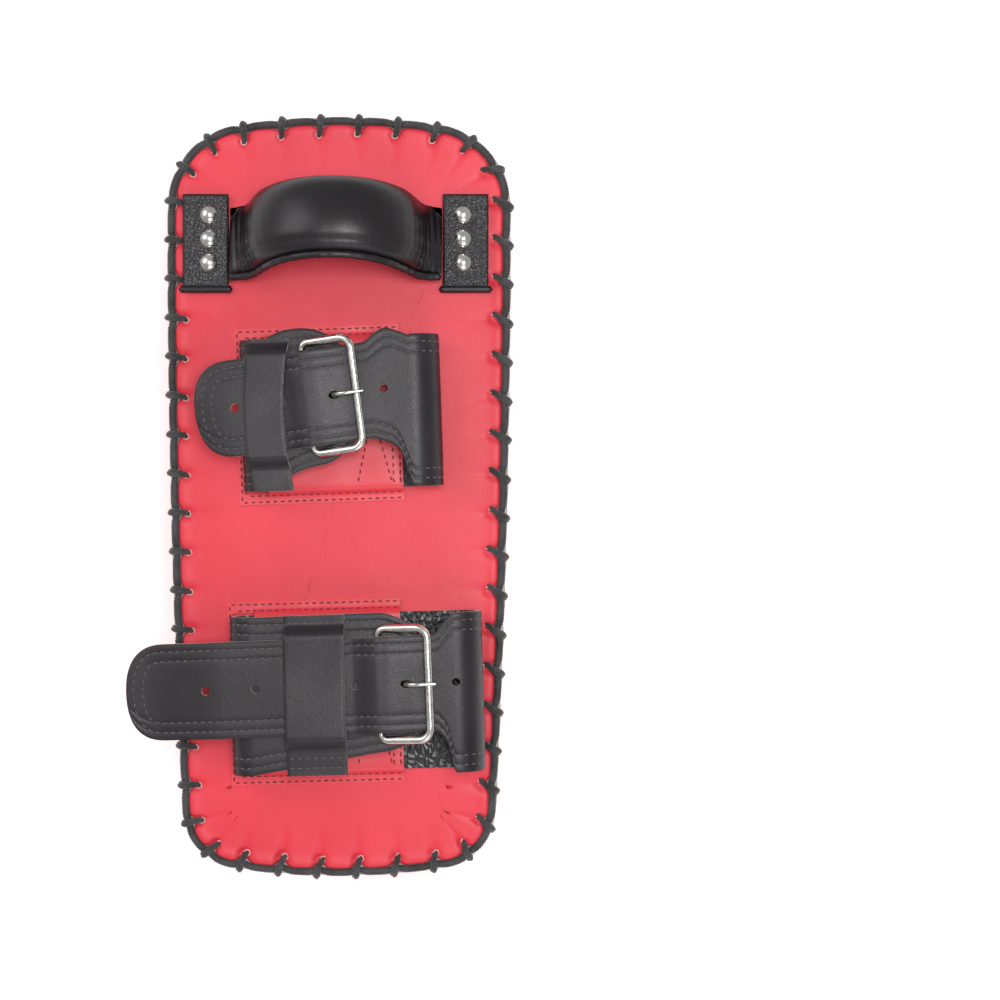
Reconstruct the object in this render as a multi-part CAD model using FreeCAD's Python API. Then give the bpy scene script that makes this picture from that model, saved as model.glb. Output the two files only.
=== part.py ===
"""Thai pad: a thick foam strike pad with a laced back cover, a top handle and two buckled arm straps.

The pad lies on its strike face.  +X is across the pad, +Y runs along it towards the handle, and +Z
points out of the back.  The origin is the centre of the strike face.  All sizes are millimetres.
"""
import FreeCAD, Part
import math
import os

V = FreeCAD.Vector

# ---- pad body ----
PAD_LENGTH = 401.5
HALF_WIDTH_HANDLE_END = 90.5
HALF_WIDTH_MIDDLE = 89.0
HALF_WIDTH_FAR_END = 81.5
HANDLE_END_ARCH = 12.0
FAR_END_ARCH = 9.0
HANDLE_CORNER_RADIUS = 44.0
FAR_CORNER_RADIUS = 32.0
STRIKE_EDGE_RADIUS = 24.0
COVER_WALL = 2.0
COVER_INSET = 3.3
COVER_RIM_Z = 86.0
GAP = 0.05
LAYER_GAP = 0.1

# ---- back edge ----
WELT_THICK = 1.5
WELT_WIDTH = 5.3
BINDING_THICK = 1.2
BINDING_HEIGHT = 6.0
PANEL_INSET = 4.6
PANEL_BOTTOM = COVER_RIM_Z + WELT_THICK + GAP
PANEL_TOP = 90.0
LACE_RADIUS = 2.1
LACE_INSET = 2.3
LACE_Z = PANEL_BOTTOM + LACE_RADIUS + GAP
STITCH_COUNT = 52
STITCH_RADIUS = 0.9
STITCH_WRAP_RADIUS = 3.4
STITCH_INWARD = 6.0
STITCH_LOW_Z = COVER_RIM_Z - 1.2
STITCH_ROOT_Z = PANEL_BOTTOM - 0.9
LACE_HOLE_RADIUS = 2.0

# ---- foam, from the strike face up ----
FOAM_LEVELS = {"strike_foam": (2.3, 30.0), "middle_foam": (30.1, 58.0), "back_foam": (58.1, 85.2)}
FOAM_INSET = COVER_INSET + COVER_WALL + 0.3

# ---- handle ----
HANDLE_CENTRE_X = -1.5
HANDLE_CENTRE_Y = 135.0
HANDLE_LEAN = 15.0
ARCH_HALF_SPAN = 56.0
ARCH_FOOT_RADIUS = 16.0
ARCH_TOP_RADIUS = 40.0
ARCH_RISE_ANGLE = 60.0
ARCH_SIDE_LENGTH = 11.0
HANDLE_HALF_WIDTH = 21.0
HANDLE_HALF_THICK = 10.0
SLEEVE_WALL = 2.0
FOOT_HALF_WIDTH = 22.0
FOOT_THICK = 2.4
TAB_LENGTH = 24.0
TAB_WIDTH = 50.0
TAB_THICK = 2.0
PIPING_RADIUS = 2.0
PIPING_SET_IN = 1.0
RIVET_PITCH = 12.6
RIVET_HEAD_RADIUS = 4.6
RIVET_HEAD_HEIGHT = 2.2
RIVET_SHANK_RADIUS = 1.6
RIVET_TAIL_RADIUS = 2.8
RIVET_TAIL_THICK = 0.7
WASHER_RADIUS = 5.0
WASHER_THICK = 1.0

# ---- arm straps ----
STRAP_THICK = 3.0
STRAP_BOTTOM = PANEL_TOP + GAP
BASE_TOP = STRAP_BOTTOM + STRAP_THICK
PATCH_THICK = 1.5
PATCH_MARGIN = 6.0
BUCKLE_FOLD_RADIUS = 10.5
TIP_FOLD_RADIUS = 14.0
FOLD_GAP = 0.4
BAND_HALF_WIDTH = 25.0
FLAP_THICK = 2.0
HEEL_RADIUS = 1.8
FRAME_WIRE_RADIUS = 2.2
FRAME_REACH = 26.0
FRAME_HALF_INNER = 26.8
RUNNING_FIT = 0.06
CHAPE_WALL = 1.35
PRONG_RADIUS = 1.3
PRONG_REACH = 14.0
PRONG_SLOT = 5.0
PRONG_KNUCKLE = 3.6
HOLE_PITCH = 26.0
HOLE_RADIUS = 2.6
PRONG_HOLE_HALF_LENGTH = 2.8
TIP_POINT = 12.0
KEEPER_THICK = 2.0
LAYER_CLEAR = 0.3
KEEPER_TO_TIP = 5.0
RAMP_LENGTH = 6.0
TIP_NOSE_RADIUS = STRAP_THICK / 2.0
TIP_NOSE_CLEAR = 0.9

BUCKLE_TOP = STRAP_BOTTOM + 2.0 * BUCKLE_FOLD_RADIUS
BUCKLE_BOTTOM = BUCKLE_TOP - STRAP_THICK
FLAP_TOP = BUCKLE_BOTTOM + FLAP_THICK
CHAPE_RADIUS = HEEL_RADIUS + RUNNING_FIT + CHAPE_WALL
HEEL_Z = FLAP_TOP + 0.1 + CHAPE_RADIUS
TIP_SIDE_TOP = STRAP_BOTTOM + 2.0 * TIP_FOLD_RADIUS
TIP_SIDE_BOTTOM = TIP_SIDE_TOP - STRAP_THICK
CREST_BOTTOM = HEEL_Z + CHAPE_RADIUS + LAYER_CLEAR
LOW_BOTTOM = BUCKLE_TOP + 1.4
LOW_TOP = LOW_BOTTOM + STRAP_THICK
FAR_BAR_Z = TIP_SIDE_TOP + LAYER_CLEAR + FRAME_WIRE_RADIUS
PRONG_TOP_Z = FAR_BAR_Z + FRAME_WIRE_RADIUS + PRONG_RADIUS + GAP

# Each strap: where its base lies, its turn in degrees, the reach of its two folds from the base centre,
# the place of the prong hole, the turn of the band that runs through the buckle, and the keeper's span.
STRAPS = {
    "upper": {"centre": (0.0, 43.5), "turn": 2.0, "half_width": 40.0, "left": -50.0, "right": 54.0,
              "hole": (-0.7, 52.5), "band_turn": 7.5, "keeper": (-46.0, -28.0), "tip": -73.0,
              "patch_left": -54.0, "patch_right": 33.0, "free_holes": (-2, -1, 1)},
    "lower": {"centre": (0.0, -103.0), "turn": 1.5, "half_width": 42.0, "left": -55.0, "right": 76.0,
              "hole": (36.5, -97.0), "band_turn": 2.2, "keeper": (-28.0, 4.0), "tip": -146.0,
              "patch_left": -58.0, "patch_right": 33.5, "free_holes": (-4, -3, -2, -1)},
}


def box(x0, x1, y0, y1, z0, z1):
    return Part.makeBox(x1 - x0, y1 - y0, z1 - z0, V(x0, y0, z0))


def polygon_plate(points, z0, z1):
    """A flat plate whose outline joins the points in the XY plane."""
    corners = [V(x, y, z0) for x, y in points]
    outline = Part.makePolygon(corners + corners[:1])
    return Part.Face(outline).extrude(V(0, 0, z1 - z0))


def profile_bar(points, y0, y1):
    """A bar along Y whose outline joins the points in the XZ plane."""
    corners = [V(x, y0, z) for x, z in points]
    outline = Part.makePolygon(corners + corners[:1])
    return Part.Face(outline).extrude(V(0, y1 - y0, 0))


def rod_along_y(x, z, radius, y0, y1):
    return Part.makeCylinder(radius, y1 - y0, V(x, y0, z), V(0, 1, 0))


def round_wire(path_edges, start, direction, radius):
    """A round bar that follows a path of tangent lines and arcs."""
    path = Part.Wire(path_edges)
    ring = Part.Wire(Part.makeCircle(radius, start, direction))
    return path.makePipeShell([ring], True, True, 2)


# ---- the pad's outline ----

def circle_through(a, b, c):
    """Centre and radius of the circle through three points."""
    circle = Part.Arc(a, b, c).toShape().Curve
    return circle.Center, circle.Radius


def corner_centre(side, end, radius, corner):
    """Centre of the corner arc that meets both big arcs from inside, nearest the sharp corner."""
    (p, rp), (q, rq) = side, end
    rp, rq = rp - radius, rq - radius
    gap = (q - p).Length
    along = (rp ** 2 - rq ** 2 + gap ** 2) / (2.0 * gap)
    across = math.sqrt(rp ** 2 - along ** 2)
    unit = (q - p) * (1.0 / gap)
    normal = V(-unit.y, unit.x, 0)
    options = [p + unit * along + normal * across, p + unit * along - normal * across]
    return min(options, key=lambda point: (point - corner).Length)


def touch(big, point):
    """The point of a big arc that lies straight out past the given point."""
    centre, radius = big
    return centre + (point - centre).normalize() * radius


def mirrored(point):
    return V(-point.x, point.y, point.z)


def inset_face(inset, z):
    """The pad's plan, drawn in by inset: four long arcs and four corner arcs, all tangent."""
    top = PAD_LENGTH / 2.0
    shoulder = V(HALF_WIDTH_HANDLE_END, top - HANDLE_END_ARCH, 0)
    heel = V(HALF_WIDTH_FAR_END, -top + FAR_END_ARCH, 0)
    side = circle_through(shoulder, V(HALF_WIDTH_MIDDLE, 0, 0), heel)
    handle_end = circle_through(mirrored(shoulder), V(0, top, 0), shoulder)
    far_end = circle_through(mirrored(heel), V(0, -top, 0), heel)
    high = corner_centre(side, handle_end, HANDLE_CORNER_RADIUS, shoulder)
    low = corner_centre(side, far_end, FAR_CORNER_RADIUS, heel)
    side = (side[0], side[1] - inset)
    handle_end = (handle_end[0], handle_end[1] - inset)
    far_end = (far_end[0], far_end[1] - inset)
    side_middle = touch(side, (touch(side, high) + touch(side, low)) * 0.5)
    high_radius = HANDLE_CORNER_RADIUS - inset
    low_radius = FAR_CORNER_RADIUS - inset
    points = [touch(handle_end, high), high + V(1, 1, 0).normalize() * high_radius, touch(side, high),
              side_middle, touch(side, low), low + V(1, -1, 0).normalize() * low_radius,
              touch(far_end, low), V(0, -top + inset, 0)]
    points += [mirrored(p) for p in reversed(points[:-1])] + [V(0, top - inset, 0)]
    points.append(points[0])
    lift = V(0, 0, z)
    edges = [Part.Arc(points[i] + lift, points[i + 1] + lift, points[i + 2] + lift).toShape()
             for i in range(0, len(points) - 2, 2)]
    return Part.Face(Part.Wire(edges))


def slab_of_plan(inset, z0, z1):
    solid = inset_face(inset, z0).extrude(V(0, 0, z1 - z0))
    return solid


def tub(inset, z0, z1, edge_radius):
    """The plan drawn up from z0, with the edge round its lower face rounded."""
    solid = slab_of_plan(inset, z0, z1)
    low_edges = [e for e in solid.Edges if abs(e.BoundBox.ZMax - z0) < 1e-4]
    return solid.makeFillet(edge_radius, low_edges)


def make_pad():
    nodes = {}
    outer = tub(COVER_INSET, 0.0, COVER_RIM_Z, STRIKE_EDGE_RADIUS)
    inner = tub(COVER_INSET + COVER_WALL, COVER_WALL, COVER_RIM_Z + 1.0, STRIKE_EDGE_RADIUS - COVER_WALL)
    nodes["front_cover"] = outer.cut(inner)
    binding_bottom = COVER_RIM_Z - BINDING_HEIGHT
    binding = slab_of_plan(COVER_INSET - BINDING_THICK, binding_bottom, COVER_RIM_Z)
    nodes["edge_binding"] = binding.cut(slab_of_plan(COVER_INSET, binding_bottom - 1, COVER_RIM_Z + 1))
    welt_bottom = COVER_RIM_Z
    welt = slab_of_plan(0.0, welt_bottom, welt_bottom + WELT_THICK)
    nodes["welt_strip"] = welt.cut(slab_of_plan(WELT_WIDTH, welt_bottom - 1, welt_bottom + WELT_THICK + 1))
    for name, (low, high) in FOAM_LEVELS.items():
        if name == "strike_foam":
            nodes[name] = tub(FOAM_INSET, low, high, STRIKE_EDGE_RADIUS - COVER_WALL)
        else:
            nodes[name] = slab_of_plan(FOAM_INSET, low, high)
    return nodes


# ---- edge lacing ----

def lace_stations():
    """Evenly spaced places along the lace: point, and the direction out of the pad."""
    wire = inset_face(LACE_INSET, LACE_Z).OuterWire
    edges = wire.OrderedEdges
    total = sum(e.Length for e in edges)
    stations = []
    for index in range(STITCH_COUNT):
        distance = (index + 0.5) * total / STITCH_COUNT
        for edge in edges:
            if distance <= edge.Length:
                break
            distance -= edge.Length
        parameter = edge.getParameterByLength(distance)
        if edge.Orientation == "Reversed":
            parameter = edge.getParameterByLength(edge.Length - distance)
        point = edge.valueAt(parameter)
        tangent = edge.tangentAt(parameter)
        outward = V(tangent.y, -tangent.x, 0)
        if outward.dot(point) < 0:
            outward = outward * -1.0
        stations.append((point, outward))
    return stations


def make_stitch():
    """One lace loop in the XZ plane: +X is out of the pad, and the lace's centre is the origin."""
    wrap = STITCH_WRAP_RADIUS
    wrap_angle = math.radians(115.0)
    tilt = wrap_angle - math.pi / 2.0
    low = V(wrap, 0, STITCH_LOW_Z - LACE_Z)
    side = V(wrap, 0, 0)
    shoulder = V(wrap * math.cos(wrap_angle), 0, wrap * math.sin(wrap_angle))
    middle = V(wrap * math.cos(wrap_angle / 2.0), 0, wrap * math.sin(wrap_angle / 2.0))
    bend = 1.3
    slope = V(-math.cos(tilt), 0, -math.sin(tilt))
    drop = math.radians(90.0) - tilt
    run_x = STITCH_INWARD + shoulder.x - bend * (1.0 - math.sin(tilt))
    run = run_x / math.cos(tilt)
    dip = shoulder + slope * run
    centre = dip + V(math.sin(tilt), 0, -math.cos(tilt)) * bend
    hook = centre + V(-bend, 0, 0)
    half = math.pi - drop / 2.0
    elbow = centre + V(math.cos(half), 0, math.sin(half)) * bend
    root = V(hook.x, 0, STITCH_ROOT_Z - LACE_Z)
    edges = [
        Part.LineSegment(low, side).toShape(),
        Part.Arc(side, middle, shoulder).toShape(),
        Part.LineSegment(shoulder, dip).toShape(),
        Part.Arc(dip, elbow, hook).toShape(),
        Part.LineSegment(hook, root).toShape(),
    ]
    return round_wire(edges, low, V(0, 0, 1), STITCH_RADIUS)


def make_lacing():
    stitch = make_stitch()
    loops = []
    holes = []
    for point, outward in lace_stations():
        loop = stitch.copy()
        loop.rotate(V(0, 0, 0), V(0, 0, 1), math.degrees(math.atan2(outward.y, outward.x)))
        loop.translate(point)
        loops.append(loop)
        hole = point - outward * STITCH_INWARD
        holes.append(Part.makeCylinder(LACE_HOLE_RADIUS, 8.0, V(hole.x, hole.y, PANEL_BOTTOM - 2.0)))
    wire = inset_face(LACE_INSET, LACE_Z).OuterWire
    first = wire.OrderedEdges[0]
    start = first.valueAt(first.FirstParameter)
    ring = Part.Wire(Part.makeCircle(LACE_RADIUS, start, first.tangentAt(first.FirstParameter)))
    lace = wire.makePipeShell([ring], True, True, 2)
    return lace, Part.makeCompound(loops), holes


# ---- handle ----

def arch_path(half_span):
    """Tangent edges of the handle's centre line in the XZ plane, with z = 0 at its feet, left to right."""
    rise = math.radians(ARCH_RISE_ANGLE)
    foot, crown, side = ARCH_FOOT_RADIUS, ARCH_TOP_RADIUS, ARCH_SIDE_LENGTH

    def foot_point(angle):
        return V(-half_span + foot * math.sin(angle), 0, foot * (1.0 - math.cos(angle)))

    a = foot_point(rise)
    b = a + V(math.cos(rise), 0, math.sin(rise)) * side
    centre = b + V(math.sin(rise), 0, -math.cos(rise)) * crown

    def crown_point(angle):
        return centre + V(-math.sin(angle), 0, math.cos(angle)) * crown

    c = crown_point(0.0)
    mirror = [V(-p.x, 0, p.z) for p in (c, crown_point(rise / 2.0), b, a, foot_point(rise / 2.0),
                                       foot_point(0.0))]
    edges = [
        Part.Arc(foot_point(0.0), foot_point(rise / 2.0), a).toShape(),
        Part.LineSegment(a, b).toShape(),
        Part.Arc(b, crown_point(rise / 2.0), c).toShape(),
        Part.LineSegment(c, mirror[0]).toShape(),
        Part.Arc(mirror[0], mirror[1], mirror[2]).toShape(),
        Part.LineSegment(mirror[2], mirror[3]).toShape(),
        Part.Arc(mirror[3], mirror[4], mirror[5]).toShape(),
    ]
    return edges


def arch_loft(shrink):
    """The padded arch: ellipses along the centre line that thin out towards both feet."""
    wire = Part.Wire(arch_path(ARCH_HALF_SPAN))
    total = wire.Length
    sections = []
    count = 17
    for index in range(count):
        share = index / (count - 1.0)
        distance = share * total
        for edge in wire.OrderedEdges:
            if distance <= edge.Length + 1e-6:
                break
            distance -= edge.Length
        parameter = edge.getParameterByLength(min(distance, edge.Length))
        point = edge.valueAt(parameter)
        along = edge.tangentAt(parameter)
        swell = min(1.0, 1.35 * math.sin(math.pi * share) ** 0.7)
        thick = FOOT_THICK / 2.0 + (HANDLE_HALF_THICK - FOOT_THICK / 2.0) * swell - shrink
        width = HANDLE_HALF_WIDTH - 3.0 * (1.0 - swell) - shrink
        thick = max(thick, 0.35)
        ellipse = Part.Ellipse(V(0, 0, 0), width, thick)
        shape = ellipse.toShape()
        place = FreeCAD.Placement(FreeCAD.Matrix(
            0, along.z, along.x, point.x,
            1, 0, 0, 0,
            0, -along.x, along.z, point.z,
            0, 0, 0, 1))
        shape.Placement = place
        sections.append(Part.Wire(shape))
    return Part.makeLoft(sections, True, False)


def lean(shape):
    """Stand a piece drawn in the XZ plane on the back, leaning towards the handle end."""
    shape = shape.copy()
    shape.rotate(V(0, 0, 0), V(1, 0, 0), -HANDLE_LEAN)
    shape.translate(V(HANDLE_CENTRE_X, HANDLE_CENTRE_Y, PANEL_TOP + FOOT_THICK / 2.0 + 0.6))
    return shape


def rivet(x, y):
    """A domed rivet through tab, handle foot, back cover and washer, with its tail clenched inside."""
    head_z = PANEL_TOP + GAP + FOOT_THICK + GAP + TAB_THICK
    tail_z = PANEL_BOTTOM - GAP - WASHER_THICK
    sphere_radius = (RIVET_HEAD_RADIUS ** 2 + RIVET_HEAD_HEIGHT ** 2) / (2.0 * RIVET_HEAD_HEIGHT)
    dome = Part.makeSphere(sphere_radius, V(x, y, head_z + RIVET_HEAD_HEIGHT - sphere_radius))
    keep = box(x - 6, x + 6, y - 6, y + 6, head_z, head_z + 6)
    shank = Part.makeCylinder(RIVET_SHANK_RADIUS, head_z - tail_z, V(x, y, tail_z))
    tail = Part.makeCylinder(RIVET_TAIL_RADIUS, RIVET_TAIL_THICK, V(x, y, tail_z - RIVET_TAIL_THICK))
    return dome.common(keep).fuse(shank).fuse(tail).removeSplitter()


def make_handle():
    nodes = {}
    rivet_holes = []
    sleeve = lean(arch_loft(0.0))
    core = lean(arch_loft(SLEEVE_WALL + LAYER_GAP))
    sleeve = sleeve.cut(lean(arch_loft(SLEEVE_WALL)))
    plate_top = PANEL_TOP + GAP + FOOT_THICK
    below = box(-200, 200, 0, 250, 0, PANEL_TOP + GAP)
    plates = []
    for side, sign in (("left", -1), ("right", 1)):
        inner = HANDLE_CENTRE_X + sign * (ARCH_HALF_SPAN - 3.0)
        outer = HANDLE_CENTRE_X + sign * (ARCH_HALF_SPAN + TAB_LENGTH)
        x0, x1 = sorted((inner, outer))
        plate = box(x0, x1, HANDLE_CENTRE_Y - FOOT_HALF_WIDTH, HANDLE_CENTRE_Y + FOOT_HALF_WIDTH,
                    PANEL_TOP + GAP, plate_top)
        sleeve = sleeve.fuse(plate)
        plates.append(box(x0 - GAP, x1 + GAP, plate.BoundBox.YMin - GAP, plate.BoundBox.YMax + GAP,
                          PANEL_TOP, plate_top + GAP))
        tab_inner = HANDLE_CENTRE_X + sign * (ARCH_HALF_SPAN + 0.6)
        x0, x1 = sorted((tab_inner, outer + sign))
        half = TAB_WIDTH / 2.0
        tab = box(x0, x1, HANDLE_CENTRE_Y - half, HANDLE_CENTRE_Y + half, plate_top + GAP,
                  plate_top + GAP + TAB_THICK)
        corners = [e for e in tab.Edges if e.BoundBox.ZLength > 1.0]
        tab = tab.makeFillet(2.0, corners)
        x = HANDLE_CENTRE_X + sign * (ARCH_HALF_SPAN + TAB_LENGTH / 2.0 - 1.0)
        rivets = []
        washers = []
        for step in (-1, 0, 1):
            y = HANDLE_CENTRE_Y + 1.0 + step * RIVET_PITCH
            rivets.append(rivet(x, y))
            low = PANEL_BOTTOM - GAP - WASHER_THICK
            disc = Part.makeCylinder(WASHER_RADIUS, WASHER_THICK, V(x, y, low))
            hole = Part.makeCylinder(RIVET_SHANK_RADIUS + 0.05, 20.0, V(x, y, PANEL_BOTTOM - 5.0))
            washers.append(disc.cut(hole))
            rivet_holes.append(hole)
        for hole in rivet_holes[-3:]:
            tab = tab.cut(hole)
        nodes["handle_tab_" + side] = tab
        nodes["handle_rivets_" + side] = Part.makeCompound(rivets)
        nodes["rivet_washers_" + side] = Part.makeCompound(washers)
    for hole in rivet_holes:
        sleeve = sleeve.cut(hole)
    tabs = nodes["handle_tab_left"].fuse(nodes["handle_tab_right"])
    nodes["handle_sleeve"] = sleeve.cut(below).cut(tabs)
    nodes["handle_core"] = core.cut(below).cut(tabs).cut(Part.makeCompound(plates))
    piping_edges = arch_path(ARCH_HALF_SPAN - PIPING_SET_IN)
    start = piping_edges[0].valueAt(piping_edges[0].FirstParameter)
    piping = round_wire(piping_edges, start, V(1, 0, 0), PIPING_RADIUS)
    piping.translate(V(0, -(HANDLE_HALF_WIDTH + PIPING_RADIUS + 0.2), 2.2))
    nodes["handle_piping"] = lean(piping).cut(below)
    return nodes, rivet_holes


# ---- arm straps ----

def on_base(shape, strap):
    """From the strap's base frame to the pad's frame."""
    shape = shape.copy()
    shape.rotate(V(0, 0, 0), V(0, 0, 1), strap["turn"])
    shape.translate(V(strap["centre"][0], strap["centre"][1], 0))
    return shape


def on_band(shape, strap):
    """From the band's frame, whose origin is the prong hole, to the pad's frame."""
    shape = shape.copy()
    shape.rotate(V(0, 0, 0), V(0, 0, 1), strap["band_turn"])
    shape.translate(V(strap["hole"][0], strap["hole"][1], 0))
    return shape


def band_point(strap, x, y):
    """A point of the band's frame, in the base frame."""
    turn = math.radians(strap["band_turn"])
    px = strap["hole"][0] + x * math.cos(turn) - y * math.sin(turn) - strap["centre"][0]
    py = strap["hole"][1] + x * math.sin(turn) + y * math.cos(turn) - strap["centre"][1]
    back = -math.radians(strap["turn"])
    return (px * math.cos(back) - py * math.sin(back), px * math.sin(back) + py * math.cos(back))


def make_base_strap(strap):
    left = strap["left"] + BUCKLE_FOLD_RADIUS
    right = strap["right"] - TIP_FOLD_RADIUS
    half = strap["half_width"]
    return on_base(box(left, right, -half, half, STRAP_BOTTOM, BASE_TOP), strap)


def make_red_patch(strap):
    """A patch over the base strap, sewn down in a margin on three sides, with the strap coming out of it."""
    half = strap["half_width"] + 0.8
    outer = half + PATCH_MARGIN
    left, right = strap["patch_left"], strap["patch_right"]
    plate_left = strap["left"] + BUCKLE_FOLD_RADIUS + 1.0
    foot = STRAP_BOTTOM + PATCH_THICK
    top = BASE_TOP + GAP + PATCH_THICK
    plate = box(plate_left, right, -outer, outer, BASE_TOP + GAP, top)
    patch = plate
    for sign in (-1, 1):
        y0, y1 = sorted((sign * half, sign * outer))
        patch = patch.fuse(box(plate_left, right, y0, y1, STRAP_BOTTOM, top))
        patch = patch.fuse(box(left, plate_left, y0, y1, STRAP_BOTTOM, foot))
    patch = patch.fuse(box(left, left + 3.0, -outer, outer, STRAP_BOTTOM, foot))
    return on_base(patch.removeSplitter(), strap)


def make_fold(strap, side):
    """The half turn that takes the strap from its base up and back over."""
    radius = BUCKLE_FOLD_RADIUS if side == "left" else TIP_FOLD_RADIUS
    sign = -1 if side == "left" else 1
    centre_x = strap[side] - sign * radius
    centre_z = STRAP_BOTTOM + radius
    half = strap["half_width"]
    ring = rod_along_y(centre_x, centre_z, radius, -half, half)
    ring = ring.cut(rod_along_y(centre_x, centre_z, radius - STRAP_THICK, -half - 1, half + 1))
    x0, x1 = sorted((centre_x, centre_x + sign * 2.0 * radius))
    return on_base(ring.common(box(x0, x1, -half, half, 0, 200)), strap)


def make_buckle_strap(strap):
    """The strap from the buckle-side fold to the flap under the buckle, with the chape for the heel bar."""
    left = strap["left"] + BUCKLE_FOLD_RADIUS + FOLD_GAP
    half = strap["half_width"] - 0.5
    heel = -PRONG_REACH
    flap_top = [band_point(strap, heel - 8, 37), band_point(strap, heel + 12, 33),
                band_point(strap, heel + FRAME_REACH - 4, 22)]
    flap_low = [band_point(strap, heel + FRAME_REACH - 4, -22), band_point(strap, heel + 12, -33),
                band_point(strap, heel - 8, -37)]
    outline = [(left, half)] + flap_top + flap_low + [(left, -half)]
    plate = on_base(polygon_plate(outline, BUCKLE_BOTTOM, BUCKLE_TOP), strap)
    thin = box(heel - 5, heel + 2 * FRAME_REACH, -60, 60, FLAP_TOP, BUCKLE_TOP + 1)
    plate = plate.cut(on_band(thin, strap))
    wedge = profile_bar([(heel - 11, FLAP_TOP), (heel, FLAP_TOP), (heel, HEEL_Z + CHAPE_RADIUS),
                         (heel - 2, HEEL_Z + CHAPE_RADIUS - 0.3), (heel - 11, BUCKLE_TOP)],
                        -BAND_HALF_WIDTH, BAND_HALF_WIDTH)
    chape = wedge.fuse(rod_along_y(heel, HEEL_Z, CHAPE_RADIUS, -BAND_HALF_WIDTH, BAND_HALF_WIDTH))
    bore = rod_along_y(heel, HEEL_Z, HEEL_RADIUS + RUNNING_FIT, -BAND_HALF_WIDTH - 1, BAND_HALF_WIDTH + 1)
    half_slot = PRONG_SLOT / 2.0
    slot = box(heel - 4.5, heel + 5, -half_slot, half_slot, FLAP_TOP, HEEL_Z + 10)
    return plate.fuse(on_band(chape, strap)).cut(on_band(bore.fuse(slot), strap)).removeSplitter()


def strap_hole(x, half_length):
    """A cutter for one punched hole at x along the band; a round hole has no extra length."""
    hole = Part.makeCylinder(HOLE_RADIUS, 30.0, V(x, 0, BUCKLE_BOTTOM - 2.0))
    stretch = half_length - HOLE_RADIUS
    if stretch > 0:
        for sign in (-1, 1):
            hole = hole.fuse(Part.makeCylinder(HOLE_RADIUS, 30.0,
                                               V(x + sign * stretch, 0, BUCKLE_BOTTOM - 2.0)))
    return hole


def make_tip_strap(strap):
    """The strap from the tip-side fold, under the far bar, over the chape and down under the keeper."""
    heel = -PRONG_REACH
    right = strap["right"] - TIP_FOLD_RADIUS - FOLD_GAP
    half = strap["half_width"] - 0.5
    far = heel + FRAME_REACH
    flare_start = far + 9.0
    tip_end = hinge_x(strap) + TIP_NOSE_CLEAR
    thick = STRAP_THICK
    under = [(tip_end, LOW_BOTTOM), (heel - 3 - RAMP_LENGTH, LOW_BOTTOM), (heel - 3, CREST_BOTTOM), (heel + 3, CREST_BOTTOM),
             (far - 5, TIP_SIDE_BOTTOM), (flare_start, TIP_SIDE_BOTTOM)]
    over = [(x, z + thick) for x, z in reversed(under)]
    band = on_band(profile_bar(under + over, -BAND_HALF_WIDTH, BAND_HALF_WIDTH), strap)
    outline = [band_point(strap, flare_start - 1, BAND_HALF_WIDTH),
               (right - 12.0, half - 8.0), (right, half), (right, -half), (right - 12.0, -half + 8.0),
               band_point(strap, flare_start - 1, -BAND_HALF_WIDTH)]
    flare = on_base(polygon_plate(outline, TIP_SIDE_BOTTOM, TIP_SIDE_TOP), strap)
    strip = band.fuse(flare)
    nose = rod_along_y(hinge_x(strap), LOW_BOTTOM + TIP_NOSE_RADIUS, TIP_NOSE_RADIUS + LAYER_GAP,
                       -BAND_HALF_WIDTH - 1, BAND_HALF_WIDTH + 1)
    strip = strip.cut(on_band(nose, strap))
    strip = strip.cut(on_band(strap_hole(0.0, PRONG_HOLE_HALF_LENGTH), strap))
    for step in strap["free_holes"] + (1,):
        strip = strip.cut(on_band(strap_hole(step * HOLE_PITCH, 0.0), strap))
    return strip.removeSplitter()


def hinge_x(strap):
    """Where the free tip bends, along the band: just left of the keeper."""
    return strap["keeper"][0] - strap["hole"][0] - KEEPER_TO_TIP


def make_strap_tip(strap):
    start = hinge_x(strap)
    end = strap["tip"]
    half = BAND_HALF_WIDTH
    outline = [(start, half), (end + TIP_POINT, half), (end + 3.0, half * 0.6), (end, half * 0.25),
               (end, -half * 0.25), (end + 3.0, -half * 0.6), (end + TIP_POINT, -half), (start, -half)]
    nose = rod_along_y(start, LOW_BOTTOM + TIP_NOSE_RADIUS, TIP_NOSE_RADIUS, -half, half)
    tip = on_band(polygon_plate(outline, LOW_BOTTOM, LOW_TOP).fuse(nose), strap)
    for step in strap["free_holes"]:
        tip = tip.cut(on_band(strap_hole(step * HOLE_PITCH, 0.0), strap))
    return tip


def make_keeper(strap):
    """A strip over the tip strap, its two ends sewn flat on the buckle strap."""
    x0, x1 = strap["keeper"]
    middle = (x0 + x1) / 2.0
    turn = math.radians(strap["band_turn"])
    centre_y = strap["hole"][1] + (middle - strap["hole"][0]) * math.tan(turn) - strap["centre"][1]
    half = strap["half_width"] - 1.5
    inner = BAND_HALF_WIDTH + 2.6
    foot_low = BUCKLE_TOP + GAP
    foot_top = foot_low + KEEPER_THICK
    roof_low = LOW_TOP + LAYER_CLEAR
    roof_top = roof_low + KEEPER_THICK
    profile = [(-half, foot_low), (centre_y - inner, foot_low), (centre_y - inner, roof_low),
               (centre_y + inner, roof_low), (centre_y + inner, foot_low), (half, foot_low),
               (half, foot_top), (centre_y + inner + 2, foot_top), (centre_y + inner, roof_top),
               (centre_y - inner, roof_top), (centre_y - inner - 2, foot_top), (-half, foot_top)]
    corners = [V(x0, y, z) for y, z in profile]
    face = Part.Face(Part.makePolygon(corners + corners[:1]))
    return on_base(face.extrude(V(x1 - x0, 0, 0)), strap)


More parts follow.
